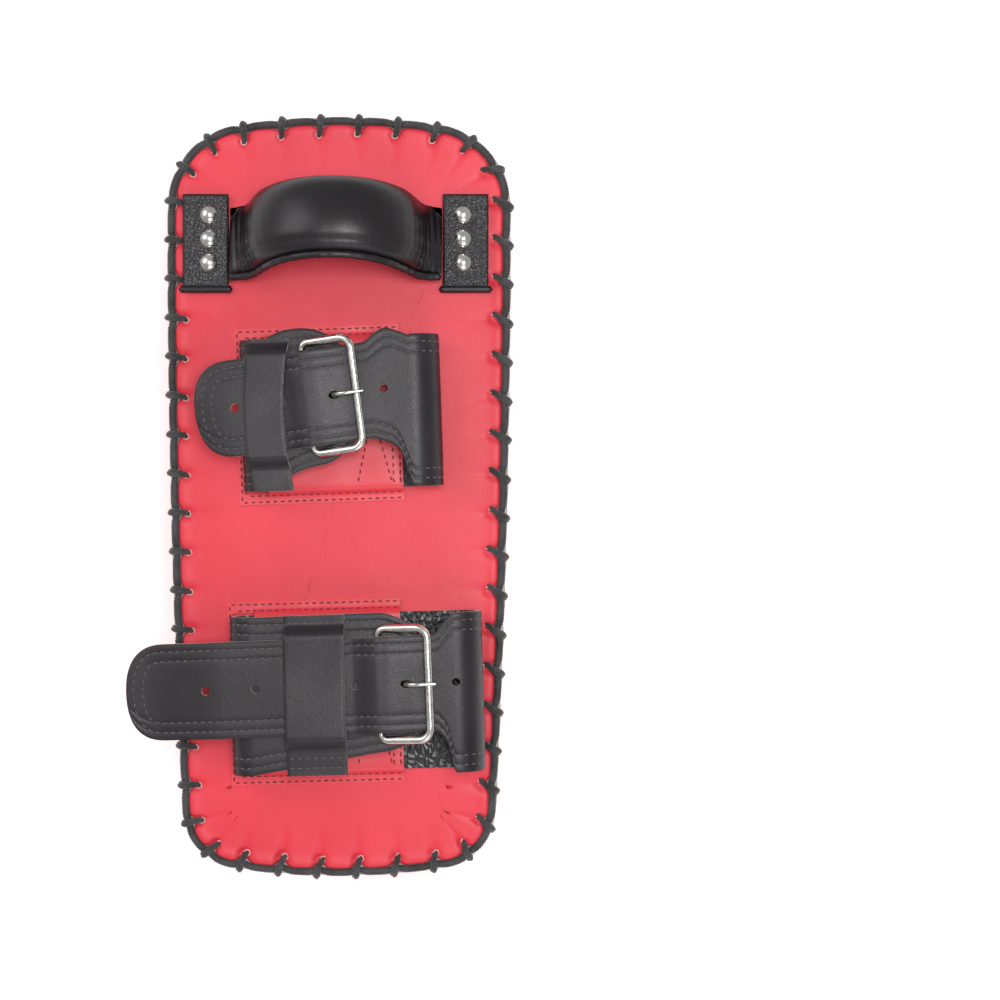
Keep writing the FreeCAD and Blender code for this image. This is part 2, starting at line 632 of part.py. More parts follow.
def make_buckle_frame(strap):
    """A wire frame: a thin heel bar, two sloping side bars and a far bar over the tip strap."""
    heel = V(-PRONG_REACH, 0, HEEL_Z)
    far = V(-PRONG_REACH + FRAME_REACH, 0, FAR_BAR_Z)
    side_y = FRAME_HALF_INNER + FRAME_WIRE_RADIUS
    bar = Part.makeCylinder(HEEL_RADIUS, 2 * side_y, heel + V(0, -side_y, 0), V(0, 1, 0))
    far_bar = Part.makeCylinder(FRAME_WIRE_RADIUS, 2 * side_y, far + V(0, -side_y, 0), V(0, 1, 0))
    frame = bar.fuse(far_bar)
    length = (far - heel).Length
    for sign in (-1, 1):
        foot = heel + V(0, sign * side_y, 0)
        frame = frame.fuse(Part.makeCylinder(FRAME_WIRE_RADIUS, length, foot, far - heel))
        frame = frame.fuse(Part.makeSphere(FRAME_WIRE_RADIUS, foot))
        frame = frame.fuse(Part.makeSphere(FRAME_WIRE_RADIUS, far + V(0, sign * side_y, 0)))
    return on_band(frame.removeSplitter(), strap)


def make_buckle_prong(strap):
    """A bent wire prong: a knuckle on the heel bar, a run under the strap, a stem up its hole, a top."""
    heel = -PRONG_REACH
    radius = PRONG_RADIUS
    root_z = HEEL_Z - CHAPE_RADIUS + radius
    knuckle = rod_along_y(heel, HEEL_Z, CHAPE_RADIUS - 0.05, -PRONG_KNUCKLE / 2.0, PRONG_KNUCKLE / 2.0)
    root = Part.makeCylinder(radius, PRONG_REACH, V(heel, 0, root_z + 0.05), V(1, 0, 0))
    stem = Part.makeCylinder(radius, PRONG_TOP_Z - root_z - 0.05, V(0, 0, root_z + 0.05))
    top_length = FRAME_REACH - PRONG_REACH + 3.5
    top = Part.makeCylinder(radius, top_length, V(0, 0, PRONG_TOP_Z), V(1, 0, 0))
    prong = knuckle.fuse(root).fuse(stem).fuse(top)
    for place in (V(0, 0, root_z + 0.05), V(0, 0, PRONG_TOP_Z), V(top_length, 0, PRONG_TOP_Z)):
        prong = prong.fuse(Part.makeSphere(radius, place))
    bore = rod_along_y(heel, HEEL_Z, HEEL_RADIUS + RUNNING_FIT, -PRONG_KNUCKLE, PRONG_KNUCKLE)
    return on_band(prong.cut(bore).removeSplitter(), strap)


def make_straps():
    nodes = {}
    for name, strap in STRAPS.items():
        nodes[name + "_base_strap"] = make_base_strap(strap)
        nodes[name + "_red_patch"] = make_red_patch(strap)
        nodes[name + "_buckle_fold"] = make_fold(strap, "left")
        nodes[name + "_tip_fold"] = make_fold(strap, "right")
        nodes[name + "_buckle_strap"] = make_buckle_strap(strap)
        nodes[name + "_tip_strap"] = make_tip_strap(strap)
        nodes[name + "_strap_tip"] = make_strap_tip(strap)
        nodes[name + "_keeper"] = make_keeper(strap)
        nodes[name + "_buckle_frame"] = make_buckle_frame(strap)
        nodes[name + "_buckle_prong"] = make_buckle_prong(strap)
    return nodes


def main():
    nodes = make_pad()
    handle_nodes, rivet_holes = make_handle()
    nodes.update(handle_nodes)
    lace, stitches, lace_holes = make_lacing()
    nodes["edge_lace"] = lace
    nodes["lace_stitches"] = stitches
    panel = slab_of_plan(PANEL_INSET, PANEL_BOTTOM, PANEL_TOP)
    nodes["back_cover"] = panel.cut(Part.makeCompound(lace_holes)).cut(Part.makeCompound(rivet_holes))
    nodes.update(make_straps())
    os.makedirs("parts", exist_ok=True)
    for name, shape in sorted(nodes.items()):
        shape.exportStep("parts/" + name + ".step")
        size = shape.BoundBox
        print("%-24s solids %2d volume %9.1f x %.1f..%.1f y %.1f..%.1f z %.1f..%.1f valid %s" % (
            name, len(shape.Solids), shape.Volume, size.XMin, size.XMax, size.YMin, size.YMax,
            size.ZMin, size.ZMax, shape.isValid()))
    for name, strap in STRAPS.items():
        turn = math.radians(strap["band_turn"])
        across = (-math.sin(turn), math.cos(turn))
        heel = (strap["hole"][0] - PRONG_REACH * math.cos(turn), strap["hole"][1] - PRONG_REACH * math.sin(turn))
        tip = hinge_x(strap)
        hinge = (strap["hole"][0] + tip * math.cos(turn), strap["hole"][1] + tip * math.sin(turn))
        print(name, "across %.5f %.5f heel %.3f %.3f %.3f tip hinge %.3f %.3f %.3f" % (
            across[0], across[1], heel[0], heel[1], HEEL_Z, hinge[0], hinge[1], LOW_BOTTOM + TIP_NOSE_RADIUS))


main()
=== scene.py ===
import bpy
import bmesh
import math
import numpy as np
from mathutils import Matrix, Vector


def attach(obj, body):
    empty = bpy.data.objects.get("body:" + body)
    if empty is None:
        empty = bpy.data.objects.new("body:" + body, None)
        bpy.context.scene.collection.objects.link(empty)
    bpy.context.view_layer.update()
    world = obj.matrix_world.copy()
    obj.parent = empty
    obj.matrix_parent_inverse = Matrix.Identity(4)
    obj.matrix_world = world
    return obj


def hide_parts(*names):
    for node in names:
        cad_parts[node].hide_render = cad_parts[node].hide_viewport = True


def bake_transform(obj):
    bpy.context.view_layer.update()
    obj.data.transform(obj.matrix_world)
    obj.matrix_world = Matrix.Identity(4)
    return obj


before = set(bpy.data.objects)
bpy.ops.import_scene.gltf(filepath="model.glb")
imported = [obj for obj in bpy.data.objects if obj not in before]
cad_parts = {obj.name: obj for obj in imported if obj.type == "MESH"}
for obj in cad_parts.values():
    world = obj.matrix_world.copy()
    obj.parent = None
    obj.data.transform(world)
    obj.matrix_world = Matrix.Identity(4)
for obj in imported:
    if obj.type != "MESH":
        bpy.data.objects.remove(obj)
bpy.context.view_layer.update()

MM = 0.001
RNG = np.random.default_rng(7)

# ---- sizes in millimetres, the same driving sizes as the CAD model ----
PAD_LENGTH = 401.5
HALF_WIDTHS = {"handle": 90.5, "middle": 89.0, "far": 81.5}
END_ARCH = {"handle": 12.0, "far": 9.0}
CORNER = {"handle": 44.0, "far": 32.0}
STRIKE_EDGE = 24.0
RIM_Z = 86.0
PANEL_TOP = 90.0
PANEL_LOW = 87.6
PANEL_INSET = 4.6
COVER_INSET = 3.5
LID_Z = 85.4
LACE_INSET = 2.3
LACE_Z = 89.7
LACE_RADIUS = 2.1
STITCHES = 52
BINDING_LOW = 80.0

STRAP_THICK = 3.0
STRAP_LOW = PANEL_TOP + 0.05
BUCKLE_FOLD = 10.5
TIP_FOLD = 14.0
BAND_HALF = 25.0
HEEL_X = -14.0
FAR_X = 12.0
HEEL_Z = 113.36
FAR_Z = 120.55
CREST_MID = 118.4
LOW_MID = 113.95
FRAME_HALF = 29.0
HOLE_PITCH = 26.0
STRAPS = {
    "upper": {"centre": (0.0, 43.5), "turn": 2.0, "half": 40.0, "left": -50.0, "right": 54.0,
              "hole": (-0.7, 52.5), "band_turn": 7.5, "keeper": (-46.0, -24.0), "tip": -73.0,
              "patch": (-54.0, 33.0), "bow": (3.5, 4.5), "holes": (-2, -1, 1), "droop": 2.5},
    "lower": {"centre": (0.0, -103.0), "turn": 1.5, "half": 42.0, "left": -55.0, "right": 76.0,
              "hole": (36.5, -97.0), "band_turn": 2.2, "keeper": (-28.0, 4.0), "tip": -146.0,
              "patch": (-58.0, 33.5), "bow": (0.6, 0.8), "holes": (-4, -3, -2, -1), "droop": 4.0},
}


# ---- small maths ----

def smooth(t):
    t = np.clip(t, 0.0, 1.0)
    return t * t * (3.0 - 2.0 * t)


def bump(x, centre, width):
    return np.exp(-((x - centre) / width) ** 2)


def unit(v):
    v = np.asarray(v, float)
    return v / np.maximum(np.linalg.norm(v, axis=-1, keepdims=True), 1e-9)


def resample(points, count, closed=False):
    points = np.asarray(points, float)
    if closed:
        points = np.vstack([points, points[:1]])
    steps = np.linalg.norm(np.diff(points, axis=0), axis=1)
    along = np.concatenate([[0.0], np.cumsum(steps)])
    at = np.linspace(0.0, along[-1], count, endpoint=not closed)
    return np.column_stack([np.interp(at, along, points[:, k]) for k in range(points.shape[1])])


def curve_through(points, per_span=12):
    """A smooth Catmull-Rom line through the points."""
    p = np.asarray(points, float)
    p = np.vstack([2 * p[0] - p[1], p, 2 * p[-1] - p[-2]])
    out = []
    for i in range(1, len(p) - 2):
        t = np.linspace(0, 1, per_span, endpoint=False)[:, None]
        a, b, c, d = p[i - 1], p[i], p[i + 1], p[i + 2]
        out.append(0.5 * (2 * b + (c - a) * t + (2 * a - 5 * b + 4 * c - d) * t ** 2
                          + (3 * b - a - 3 * c + d) * t ** 3))
    return np.vstack(out + [p[-2:-1]])


# ---- mesh building ----

class Builder:
    """Collects vertices in millimetres, faces and their material numbers for one object."""

    def __init__(self):
        self.verts = []
        self.faces = []
        self.mats = []
        self.count = 0

    def add(self, points, faces, mat=0):
        base = self.count
        self.verts.append(np.asarray(points, float))
        self.count += len(points)
        self.faces += [tuple(base + i for i in f) for f in faces]
        self.mats += [mat] * len(faces)

    def grid(self, rows, mat=0, close_rows=False, close_cols=False, flip=False):
        """Quads over an array of rows x cols points."""
        rows = np.asarray(rows, float)
        n, m = rows.shape[:2]
        faces = []
        for i in range(n if close_rows else n - 1):
            for j in range(m if close_cols else m - 1):
                a, b = i * m + j, i * m + (j + 1) % m
                c, d = ((i + 1) % n) * m + (j + 1) % m, ((i + 1) % n) * m + j
                faces.append((d, c, b, a) if flip else (a, b, c, d))
        self.add(rows.reshape(-1, 3), faces, mat)

    def tube(self, points, radii, sides=8, mat=0, closed=False, squash=None, flat_up=None):
        """A round bar along the points, with rounded ends if it is open."""
        p = np.asarray(points, float)
        r = np.broadcast_to(np.asarray(radii, float), (len(p),)).copy()
        if closed:
            tangent = unit(np.roll(p, -1, 0) - np.roll(p, 1, 0))
        else:
            tangent = unit(np.gradient(p, axis=0))
        guide = np.array([0.0, 0.0, 1.0]) if flat_up is None else np.asarray(flat_up, float)
        side = np.cross(tangent, guide)
        weak = np.linalg.norm(side, axis=1) < 0.2
        side[weak] = np.cross(tangent[weak], [0.3, 1.0, 0.0])
        side = unit(side)
        up = unit(np.cross(side, tangent))
        ring = np.linspace(0, 2 * np.pi, sides, endpoint=False)
        tall = 1.0 if squash is None else squash
        rows = (p[:, None] + r[:, None, None] * (np.cos(ring)[None, :, None] * side[:, None]
                                                + tall * np.sin(ring)[None, :, None] * up[:, None]))
        base = self.count
        self.grid(rows, mat, close_rows=closed, close_cols=True, flip=True)
        if not closed:
            for index, sign in ((0, -1.0), (len(p) - 1, 1.0)):
                tip = p[index] + sign * tangent[index] * r[index] * 0.7
                ring_start = base + index * sides
                self.verts.append(tip[None])
                centre = self.count
                self.count += 1
                for j in range(sides):
                    a, b = ring_start + j, ring_start + (j + 1) % sides
                    self.faces.append((a, b, centre) if sign < 0 else (b, a, centre))
                    self.mats.append(mat)

    def shell(self, rings, first, last, mat=0):
        """A closed skin from rings of equal length, with a centre point at each end."""
        rings = np.asarray(rings, float)
        n, m = rings.shape[:2]
        faces = []
        for i in range(n - 1):
            for j in range(m):
                nxt = (j + 1) % m
                faces.append((i * m + j, i * m + nxt, (i + 1) * m + nxt, (i + 1) * m + j))
        low, high = n * m, n * m + 1
        for j in range(m):
            nxt = (j + 1) % m
            faces.append((nxt, j, low))
            faces.append(((n - 1) * m + j, (n - 1) * m + nxt, high))
        self.add(np.vstack([rings.reshape(-1, 3), [first], [last]]), faces, mat)

    def plate(self, top, under, mats=(0, 0, 0)):
        """A closed plate from two grids; mats are for its top, its underside and its rim."""
        top, under = np.asarray(top, float), np.asarray(under, float)
        n, m = top.shape[:2]
        start = self.count
        self.grid(top, mats[0])
        self.grid(under, mats[1], flip=True)
        low = start + n * m
        rim = []
        for i in range(n - 1):
            a, b = start + i * m, start + (i + 1) * m
            c, d = a + n * m, b + n * m
            rim.append((a, b, d, c))
            rim.append((b + m - 1, a + m - 1, c + m - 1, d + m - 1))
        last = (n - 1) * m
        for j in range(m - 1):
            rim.append((start + j + 1, start + j, low + j, low + j + 1))
            rim.append((start + last + j, start + last + j + 1, low + last + j + 1, low + last + j))
        self.faces += rim
        self.mats += [mats[2]] * len(rim)

    def make(self, name, materials, sharp=None):
        mesh = bpy.data.meshes.new(name)
        verts = np.vstack(self.verts) * MM
        mesh.from_pydata(verts.tolist(), [], self.faces)
        mesh.polygons.foreach_set("material_index", self.mats)
        mesh.polygons.foreach_set("use_smooth", [True] * len(mesh.polygons))
        for material in materials:
            mesh.materials.append(material)
        work = bmesh.new()
        work.from_mesh(mesh)
        bmesh.ops.recalc_face_normals(work, faces=work.faces)
        if sharp is not None:
            sharpen(work, sharp)
        work.to_mesh(mesh)
        work.free()
        mesh.update()
        piece = bpy.data.objects.new(name, mesh)
        bpy.context.scene.collection.objects.link(piece)
        return piece


def sharpen(work, angle):
    """Keeps the edges that bend by more than the angle crisp, and smooths the others."""
    for edge in work.edges:
        edge.smooth = not (len(edge.link_faces) == 2 and edge.calc_face_angle(0.0) > math.radians(angle))


def apply_modifiers(piece):
    graph = bpy.context.evaluated_depsgraph_get()
    graph.update()
    mesh = bpy.data.meshes.new_from_object(piece.evaluated_get(graph))
    old = piece.data
    piece.modifiers.clear()
    piece.data = mesh
    bpy.data.meshes.remove(old)


def stitch_row(builder, points, normals, mat, pitch=4.0, length=2.7, radius=0.36, sink=0.05):
    """Threads laid end to end along a line on a surface, each dipping into the leather at its ends."""
    points = np.asarray(points, float)
    normals = unit(normals)
    steps = np.linalg.norm(np.diff(points, axis=0), axis=1)
    along = np.concatenate([[0.0], np.cumsum(steps)])
    total = along[-1]
    count = max(1, int(total / pitch))
    for k in range(count):
        middle = (k + 0.5) * total / count
        at = np.clip(np.linspace(middle - length / 2, middle + length / 2, 5), 0, total)
        line = np.column_stack([np.interp(at, along, points[:, i]) for i in range(3)])
        up = np.column_stack([np.interp(at, along, normals[:, i]) for i in range(3)])
        rise = np.array([-radius * 1.4, radius * 0.15, radius * 0.55, radius * 0.15, -radius * 1.4]) - sink
        builder.tube(line + unit(up) * rise[:, None], [radius * 0.7, radius, radius, radius, radius * 0.7],
                     sides=6, mat=mat, flat_up=up[2])


# ---- materials ----

def new_material(name, colour, roughness, **sockets):
    material = bpy.data.materials.new(name)
    material.use_nodes = True
    shader = material.node_tree.nodes["Principled BSDF"]
    shader.inputs["Base Color"].default_value = (*colour, 1.0)
    shader.inputs["Roughness"].default_value = roughness
    for socket, value in sockets.items():
        shader.inputs[socket.replace("_", " ")].default_value = value
    return material, material.node_tree, shader


def texture(tree, kind, scale, stretch):
    """A texture node of this kind, laid out in the object's own space."""
    place = tree.nodes.new("ShaderNodeTexCoord")
    mapping = tree.nodes.new("ShaderNodeMapping")
    mapping.inputs["Scale"].default_value = stretch
    tree.links.new(place.outputs["Object"], mapping.inputs["Vector"])
    node = tree.nodes.new(kind)
    node.inputs["Scale"].default_value = scale
    tree.links.new(mapping.outputs["Vector"], node.inputs["Vector"])
    return node


def noise(tree, scale, detail=3.0, rough=0.5, stretch=(1.0, 1.0, 1.0)):
    node = texture(tree, "ShaderNodeTexNoise", scale, stretch)
    node.inputs["Detail"].default_value = detail
    node.inputs["Roughness"].default_value = rough
    return node.outputs["Fac"]


def cells(tree, scale, feature="DISTANCE_TO_EDGE", stretch=(1.0, 1.0, 1.0)):
    node = texture(tree, "ShaderNodeTexVoronoi", scale, stretch)
    node.feature = feature
    return node.outputs["Distance"]


def tint(tree, shader, value, low, high):
    """Colours the surface by a texture: low and high are each a place on the ramp and a colour."""
    node = tree.nodes.new("ShaderNodeValToRGB")
    for element, (place, colour) in zip(node.color_ramp.elements, (low, high)):
        element.position = place
        element.color = (*colour, 1.0)
    tree.links.new(value, node.inputs["Fac"])
    tree.links.new(node.outputs["Color"], shader.inputs["Base Color"])


def shine(tree, shader, value, low, high):
    """Varies the roughness between low and high by a texture."""
    node = tree.nodes.new("ShaderNodeMapRange")
    for socket, number in (("From Min", 0.3), ("From Max", 0.7), ("To Min", low), ("To Max", high)):
        node.inputs[socket].default_value = number
    tree.links.new(value, node.inputs["Value"])
    tree.links.new(node.outputs["Result"], shader.inputs["Roughness"])


def raised(tree, shader, layers):
    """Stacks bump layers, each a height output with its strength and depth in millimetres."""
    before = None
    for height, strength, depth in layers:
        node = tree.nodes.new("ShaderNodeBump")
        node.inputs["Strength"].default_value = strength
        node.inputs["Distance"].default_value = depth * MM
        tree.links.new(height, node.inputs["Height"])
        if before is not None:
            tree.links.new(before, node.inputs["Normal"])
        before = node.outputs["Normal"]
    tree.links.new(before, shader.inputs["Normal"])


def red_leather(name, low, high, roughness):
    material, tree, shader = new_material(name, high, roughness, Specular_IOR_Level=0.45)
    soft = noise(tree, 9.0, 4.0, 0.6)
    tint(tree, shader, soft, (0.3, low), (0.7, high))
    grain = noise(tree, 1500.0, 3.0, 0.6)
    shine(tree, shader, grain, roughness - 0.05, roughness + 0.09)
    raised(tree, shader, [(noise(tree, 35.0, 3.0), 0.25, 0.8), (cells(tree, 900.0), 0.35, 0.12),
                          (grain, 0.45, 0.10)])
    return material


def black_leather(name, low, high, roughness, grain_size=1400.0, grain_depth=0.12):
    material, tree, shader = new_material(name, high, roughness, Specular_IOR_Level=0.5)
    soft = noise(tree, 26.0, 5.0, 0.6)
    tint(tree, shader, soft, (0.3, low), (0.72, high))
    grain = noise(tree, grain_size, 3.0, 0.65)
    shine(tree, shader, grain, roughness - 0.08, roughness + 0.10)
    scales = cells(tree, grain_size * 0.62)
    raised(tree, shader, [(noise(tree, 60.0, 4.0), 0.3, 0.7), (scales, 0.4, grain_depth),
                          (grain, 0.6, grain_depth)])
    return material


def pebbled_leather():
    material, tree, shader = new_material("embossed_leather", (0.012, 0.011, 0.014), 0.36)
    pebble = cells(tree, 620.0, "F1")
    tint(tree, shader, pebble, (0.0, (0.026, 0.023, 0.028)), (0.6, (0.006, 0.005, 0.007)))
    raised(tree, shader, [(noise(tree, 80.0, 3.0), 0.3, 0.6), (cells(tree, 620.0), 0.9, 0.45)])
    return material


def lining_leather():
    """Croc-embossed lining: rows of small rectangular scales."""
    material, tree, shader = new_material("strap_lining", (0.015, 0.016, 0.018), 0.3)
    scales = cells(tree, 330.0, "DISTANCE_TO_EDGE", (1.0, 0.72, 1.0))
    tint(tree, shader, scales, (0.0, (0.004, 0.004, 0.005)), (0.25, (0.035, 0.036, 0.040)))
    raised(tree, shader, [(scales, 1.0, 0.8), (noise(tree, 900.0), 0.3, 0.1)])
    return material


def raw_edge():
    material, tree, shader = new_material("raw_edge", (0.72, 0.66, 0.58), 0.8)
    fibre = noise(tree, 700.0, 5.0, 0.7, (1.0, 1.0, 3.0))
    tint(tree, shader, fibre, (0.3, (0.50, 0.43, 0.36)), (0.65, (0.82, 0.76, 0.68)))
    raised(tree, shader, [(fibre, 0.6, 0.3)])
    return material


def thread(name, low, high):
    material, tree, shader = new_material(name, high, 0.6, Sheen_Weight=0.3)
    strand = noise(tree, 2200.0, 2.0, 0.5)
    tint(tree, shader, strand, (0.35, low), (0.65, high))
    raised(tree, shader, [(strand, 0.5, 0.1)])
    return material


def woven(name, low, high, roughness):
    material, tree, shader = new_material(name, high, roughness, Sheen_Weight=0.25)
    fibre = noise(tree, 1800.0, 3.0, 0.6)
    patches = noise(tree, 120.0, 3.0, 0.5)
    tint(tree, shader, patches, (0.3, low), (0.7, high))
    raised(tree, shader, [(fibre, 0.7, 0.15)])
    return material


def nickel():
    material, tree, shader = new_material("nickel", (0.72, 0.70, 0.67), 0.2, Metallic=1.0)
    wear = noise(tree, 300.0, 5.0, 0.65)
    tint(tree, shader, wear, (0.3, (0.55, 0.53, 0.50)), (0.62, (0.80, 0.78, 0.75)))
    shine(tree, shader, wear, 0.14, 0.32)
    raised(tree, shader, [(noise(tree, 150.0, 3.0), 0.12, 0.3)])
    return material


RED = red_leather("red_leather", (0.72, 0.030, 0.050), (0.86, 0.046, 0.075), 0.42)
# the patch leather is a glossier copy of the red leather with a lighter colour; its lower roughness is real
# gloss, and the lighter colour is partly painted sheen for the light the raised patch reflects
RED_PATCH_PAINTED_SHEEN = red_leather("red_patch_leather", (0.76, 0.045, 0.065), (0.88, 0.070, 0.095), 0.34)
BLACK = black_leather("black_leather", (0.008, 0.0055, 0.008), (0.022, 0.015, 0.021), 0.40)
HANDLE_BLACK = black_leather("handle_leather", (0.006, 0.0045, 0.006), (0.016, 0.011, 0.015), 0.33,
                             1800.0, 0.08)
PEBBLED = pebbled_leather()
LINING = lining_leather()
EDGE = raw_edge()
BLACK_THREAD = thread("black_thread", (0.05, 0.04, 0.05), (0.13, 0.11, 0.14))
RED_THREAD = thread("red_thread", (0.16, 0.004, 0.010), (0.34, 0.010, 0.020))
PALE_THREAD = thread("pale_thread", (0.45, 0.43, 0.42), (0.75, 0.73, 0.70))
LACE_CORD = woven("lace_cord", (0.018, 0.018, 0.020), (0.062, 0.062, 0.066), 0.62)
NAVY = woven("navy_binding", (0.010, 0.012, 0.030), (0.022, 0.026, 0.060), 0.7)
NICKEL = nickel()
STRAP_MATERIALS = [BLACK, LINING, EDGE, BLACK_THREAD]


# ---- the pad's outline: long arcs and corner arcs, as in the CAD model ----

def circle_through(a, b, c):
    (ax, ay), (bx, by), (cx, cy) = a, b, c
    d = 2.0 * (ax * (by - cy) + bx * (cy - ay) + cx * (ay - by))
    aa, bb, cc = ax ** 2 + ay ** 2, bx ** 2 + by ** 2, cx ** 2 + cy ** 2
    ux = (aa * (by - cy) + bb * (cy - ay) + cc * (ay - by)) / d
    uy = (aa * (cx - bx) + bb * (ax - cx) + cc * (bx - ax)) / d
    return np.array([ux, uy]), math.hypot(ax - ux, ay - uy)


def corner_centre(side, end, radius, corner):
    (p, rp), (q, rq) = side, end
    rp, rq = rp - radius, rq - radius
    gap = np.linalg.norm(q - p)
    along = (rp ** 2 - rq ** 2 + gap ** 2) / (2.0 * gap)
    across = math.sqrt(rp ** 2 - along ** 2)
    line = (q - p) / gap
    normal = np.array([-line[1], line[0]])
    options = [p + line * along + normal * across, p + line * along - normal * across]
    return min(options, key=lambda point: np.linalg.norm(point - corner))


ARC_STEPS = 400


def outline_stations(count):
    """Evenly spaced places round the pad, clockwise from the top: arc centre, radius and angle of each."""
    top = PAD_LENGTH / 2.0
    shoulder = np.array([HALF_WIDTHS["handle"], top - END_ARCH["handle"]])
    heel = np.array([HALF_WIDTHS["far"], -top + END_ARCH["far"]])
    flip = np.array([-1.0, 1.0])
    side = circle_through(shoulder, (HALF_WIDTHS["middle"], 0.0), heel)
    handle_end = circle_through(shoulder * flip, (0.0, top), shoulder)
    far_end = circle_through(heel * flip, (0.0, -top), heel)
    high = corner_centre(side, handle_end, CORNER["handle"], shoulder)
    low = corner_centre(side, far_end, CORNER["far"], heel)

    def heading(centre, point):
        return math.atan2(point[1] - centre[1], point[0] - centre[0])

    top_angle = heading(handle_end[0], high)
    side_high, side_low = heading(side[0], high), heading(side[0], low)
    end_angle = heading(far_end[0], low)
    arcs = [(handle_end[0], handle_end[1], math.pi / 2.0, top_angle),
            (high, CORNER["handle"], top_angle, side_high),
            (side[0], side[1], side_high, side_low),
            (low, CORNER["far"], side_low, end_angle),
            (far_end[0], far_end[1], end_angle, -math.pi / 2.0)]
    other = [(c * flip, r, math.pi - b, math.pi - a) for c, r, a, b in reversed(arcs)]
    rows = []
    for c, r, a, b in arcs + other:
        for t in np.linspace(0, 1, ARC_STEPS, endpoint=False):
            rows.append((c[0], c[1], r, a + (b - a) * t, abs(b - a) * r / ARC_STEPS))
    rows = np.array(rows)
    along = np.concatenate([[0.0], np.cumsum(rows[:, 4])])
    at = np.linspace(0.0, along[-1], count, endpoint=False)
    index = np.searchsorted(along, at, side="right") - 1
    index = np.clip(index, 0, len(rows) - 1)
    part = (at - along[index]) / rows[index, 4]
    nxt = (index + 1) % len(rows)
    same = np.isclose(rows[nxt, 2], rows[index, 2]) & (np.abs(rows[nxt, 0] - rows[index, 0]) < 1e-6)
    angle = rows[index, 3] + np.where(same, part * (rows[nxt, 3] - rows[index, 3]), 0.0)
    return np.column_stack([rows[index, :3], angle])


def on_outline(stations, inset):
    inset = np.broadcast_to(inset, (len(stations),))
    r = stations[:, 2] - inset
    return np.column_stack([stations[:, 0] + r * np.cos(stations[:, 3]),
                            stations[:, 1] + r * np.sin(stations[:, 3])])


def outward(stations):
    return np.column_stack([np.cos(stations[:, 3]), np.sin(stations[:, 3])])


PER_STITCH = 24
RING = STITCHES * PER_STITCH
PLACES = outline_stations(RING)
PHASE = (np.arange(RING) / PER_STITCH) % 1.0
STITCH_PULL = bump(PHASE, 0.5, 0.16)
LOOSE = RNG.uniform(0.65, 1.25, STITCHES)
LOOSE_AT = np.interp(np.arange(RING) / PER_STITCH, np.arange(STITCHES) + 0.5, LOOSE, period=STITCHES)
END_PULL = 1.0 + 0.55 * smooth((-on_outline(PLACES, 0.0)[:, 1] - 120.0) / 60.0)
PUCKER = LOOSE_AT * END_PULL


def ring_at(inset, z):
    points = on_outline(PLACES, inset)
    return np.column_stack([points, np.broadcast_to(z, (RING,))])


def shrunk(ring, share, z):
    out = ring.copy()
    out[:, :2] *= share
    out[:, 2] = z
    return out


def uneven(points, size, depth, seed):
    """A slow random swell over the XY plane, made from a few sine waves."""
    rng = np.random.default_rng(seed)
    total = np.zeros(len(points))
    for _ in range(7):
        angle = rng.uniform(0, 2 * np.pi)
        wave = 2 * np.pi / (size * rng.uniform(0.6, 1.6))
        total += np.sin((points[:, 0] * math.cos(angle) + points[:, 1] * math.sin(angle)) * wave
                        + rng.uniform(0, 6.28))
    return depth * total / 7.0


def make_back_cover():
    """The red back panel: its edge is drawn in and down at each lace stitch and swells between them."""
    edge = PANEL_INSET + 1.3 * STITCH_PULL * PUCKER - 0.7 * (1.0 - STITCH_PULL) * PUCKER
    insets = [0.0, 0.5, 1.2, 2.2, 3.3, 4.4, 5.6, 7.4, 9.6, 12.5, 16.5, 21.5]
    rings = []
    bottom = ring_at(8.0, PANEL_LOW)
    for share in (0.25, 0.7):
        rings.append(shrunk(bottom, share, PANEL_LOW))
    rings.append(bottom)
    rings.append(ring_at(edge + 0.8, PANEL_LOW))
    rings.append(ring_at(edge - 0.05, PANEL_LOW + 0.7))
    for step in insets:
        dimple = STITCH_PULL * (0.5 * bump(step, 0.0, 1.5) + 1.35 * bump(step, 3.4, 2.0))
        swell = (1.0 - STITCH_PULL) * 0.35 * bump(step, 2.6, 2.6)
        fold = -0.30 * STITCH_PULL * bump(step, 8.0, 6.0)
        roll = -0.8 * math.exp(-step / 0.5)
        rings.append(ring_at(edge + step, PANEL_TOP - 0.15 + roll + (swell - dimple + fold) * PUCKER))
    last = rings[-1]
    for share in (0.93, 0.85, 0.75, 0.63, 0.5, 0.36, 0.2, 0.08):
        ring = shrunk(last, share, 0.0)
        ring[:, 2] = PANEL_TOP - 0.05 - np.abs(uneven(ring, 90.0, 0.35, 3))
        rings.append(ring)
    work = Builder()
    work.shell(rings, (0, 0, PANEL_LOW), (0, 0, PANEL_TOP - 0.1))
    finish(work.make("back_panel", [RED]), "root", "red_leather", "back_cover")


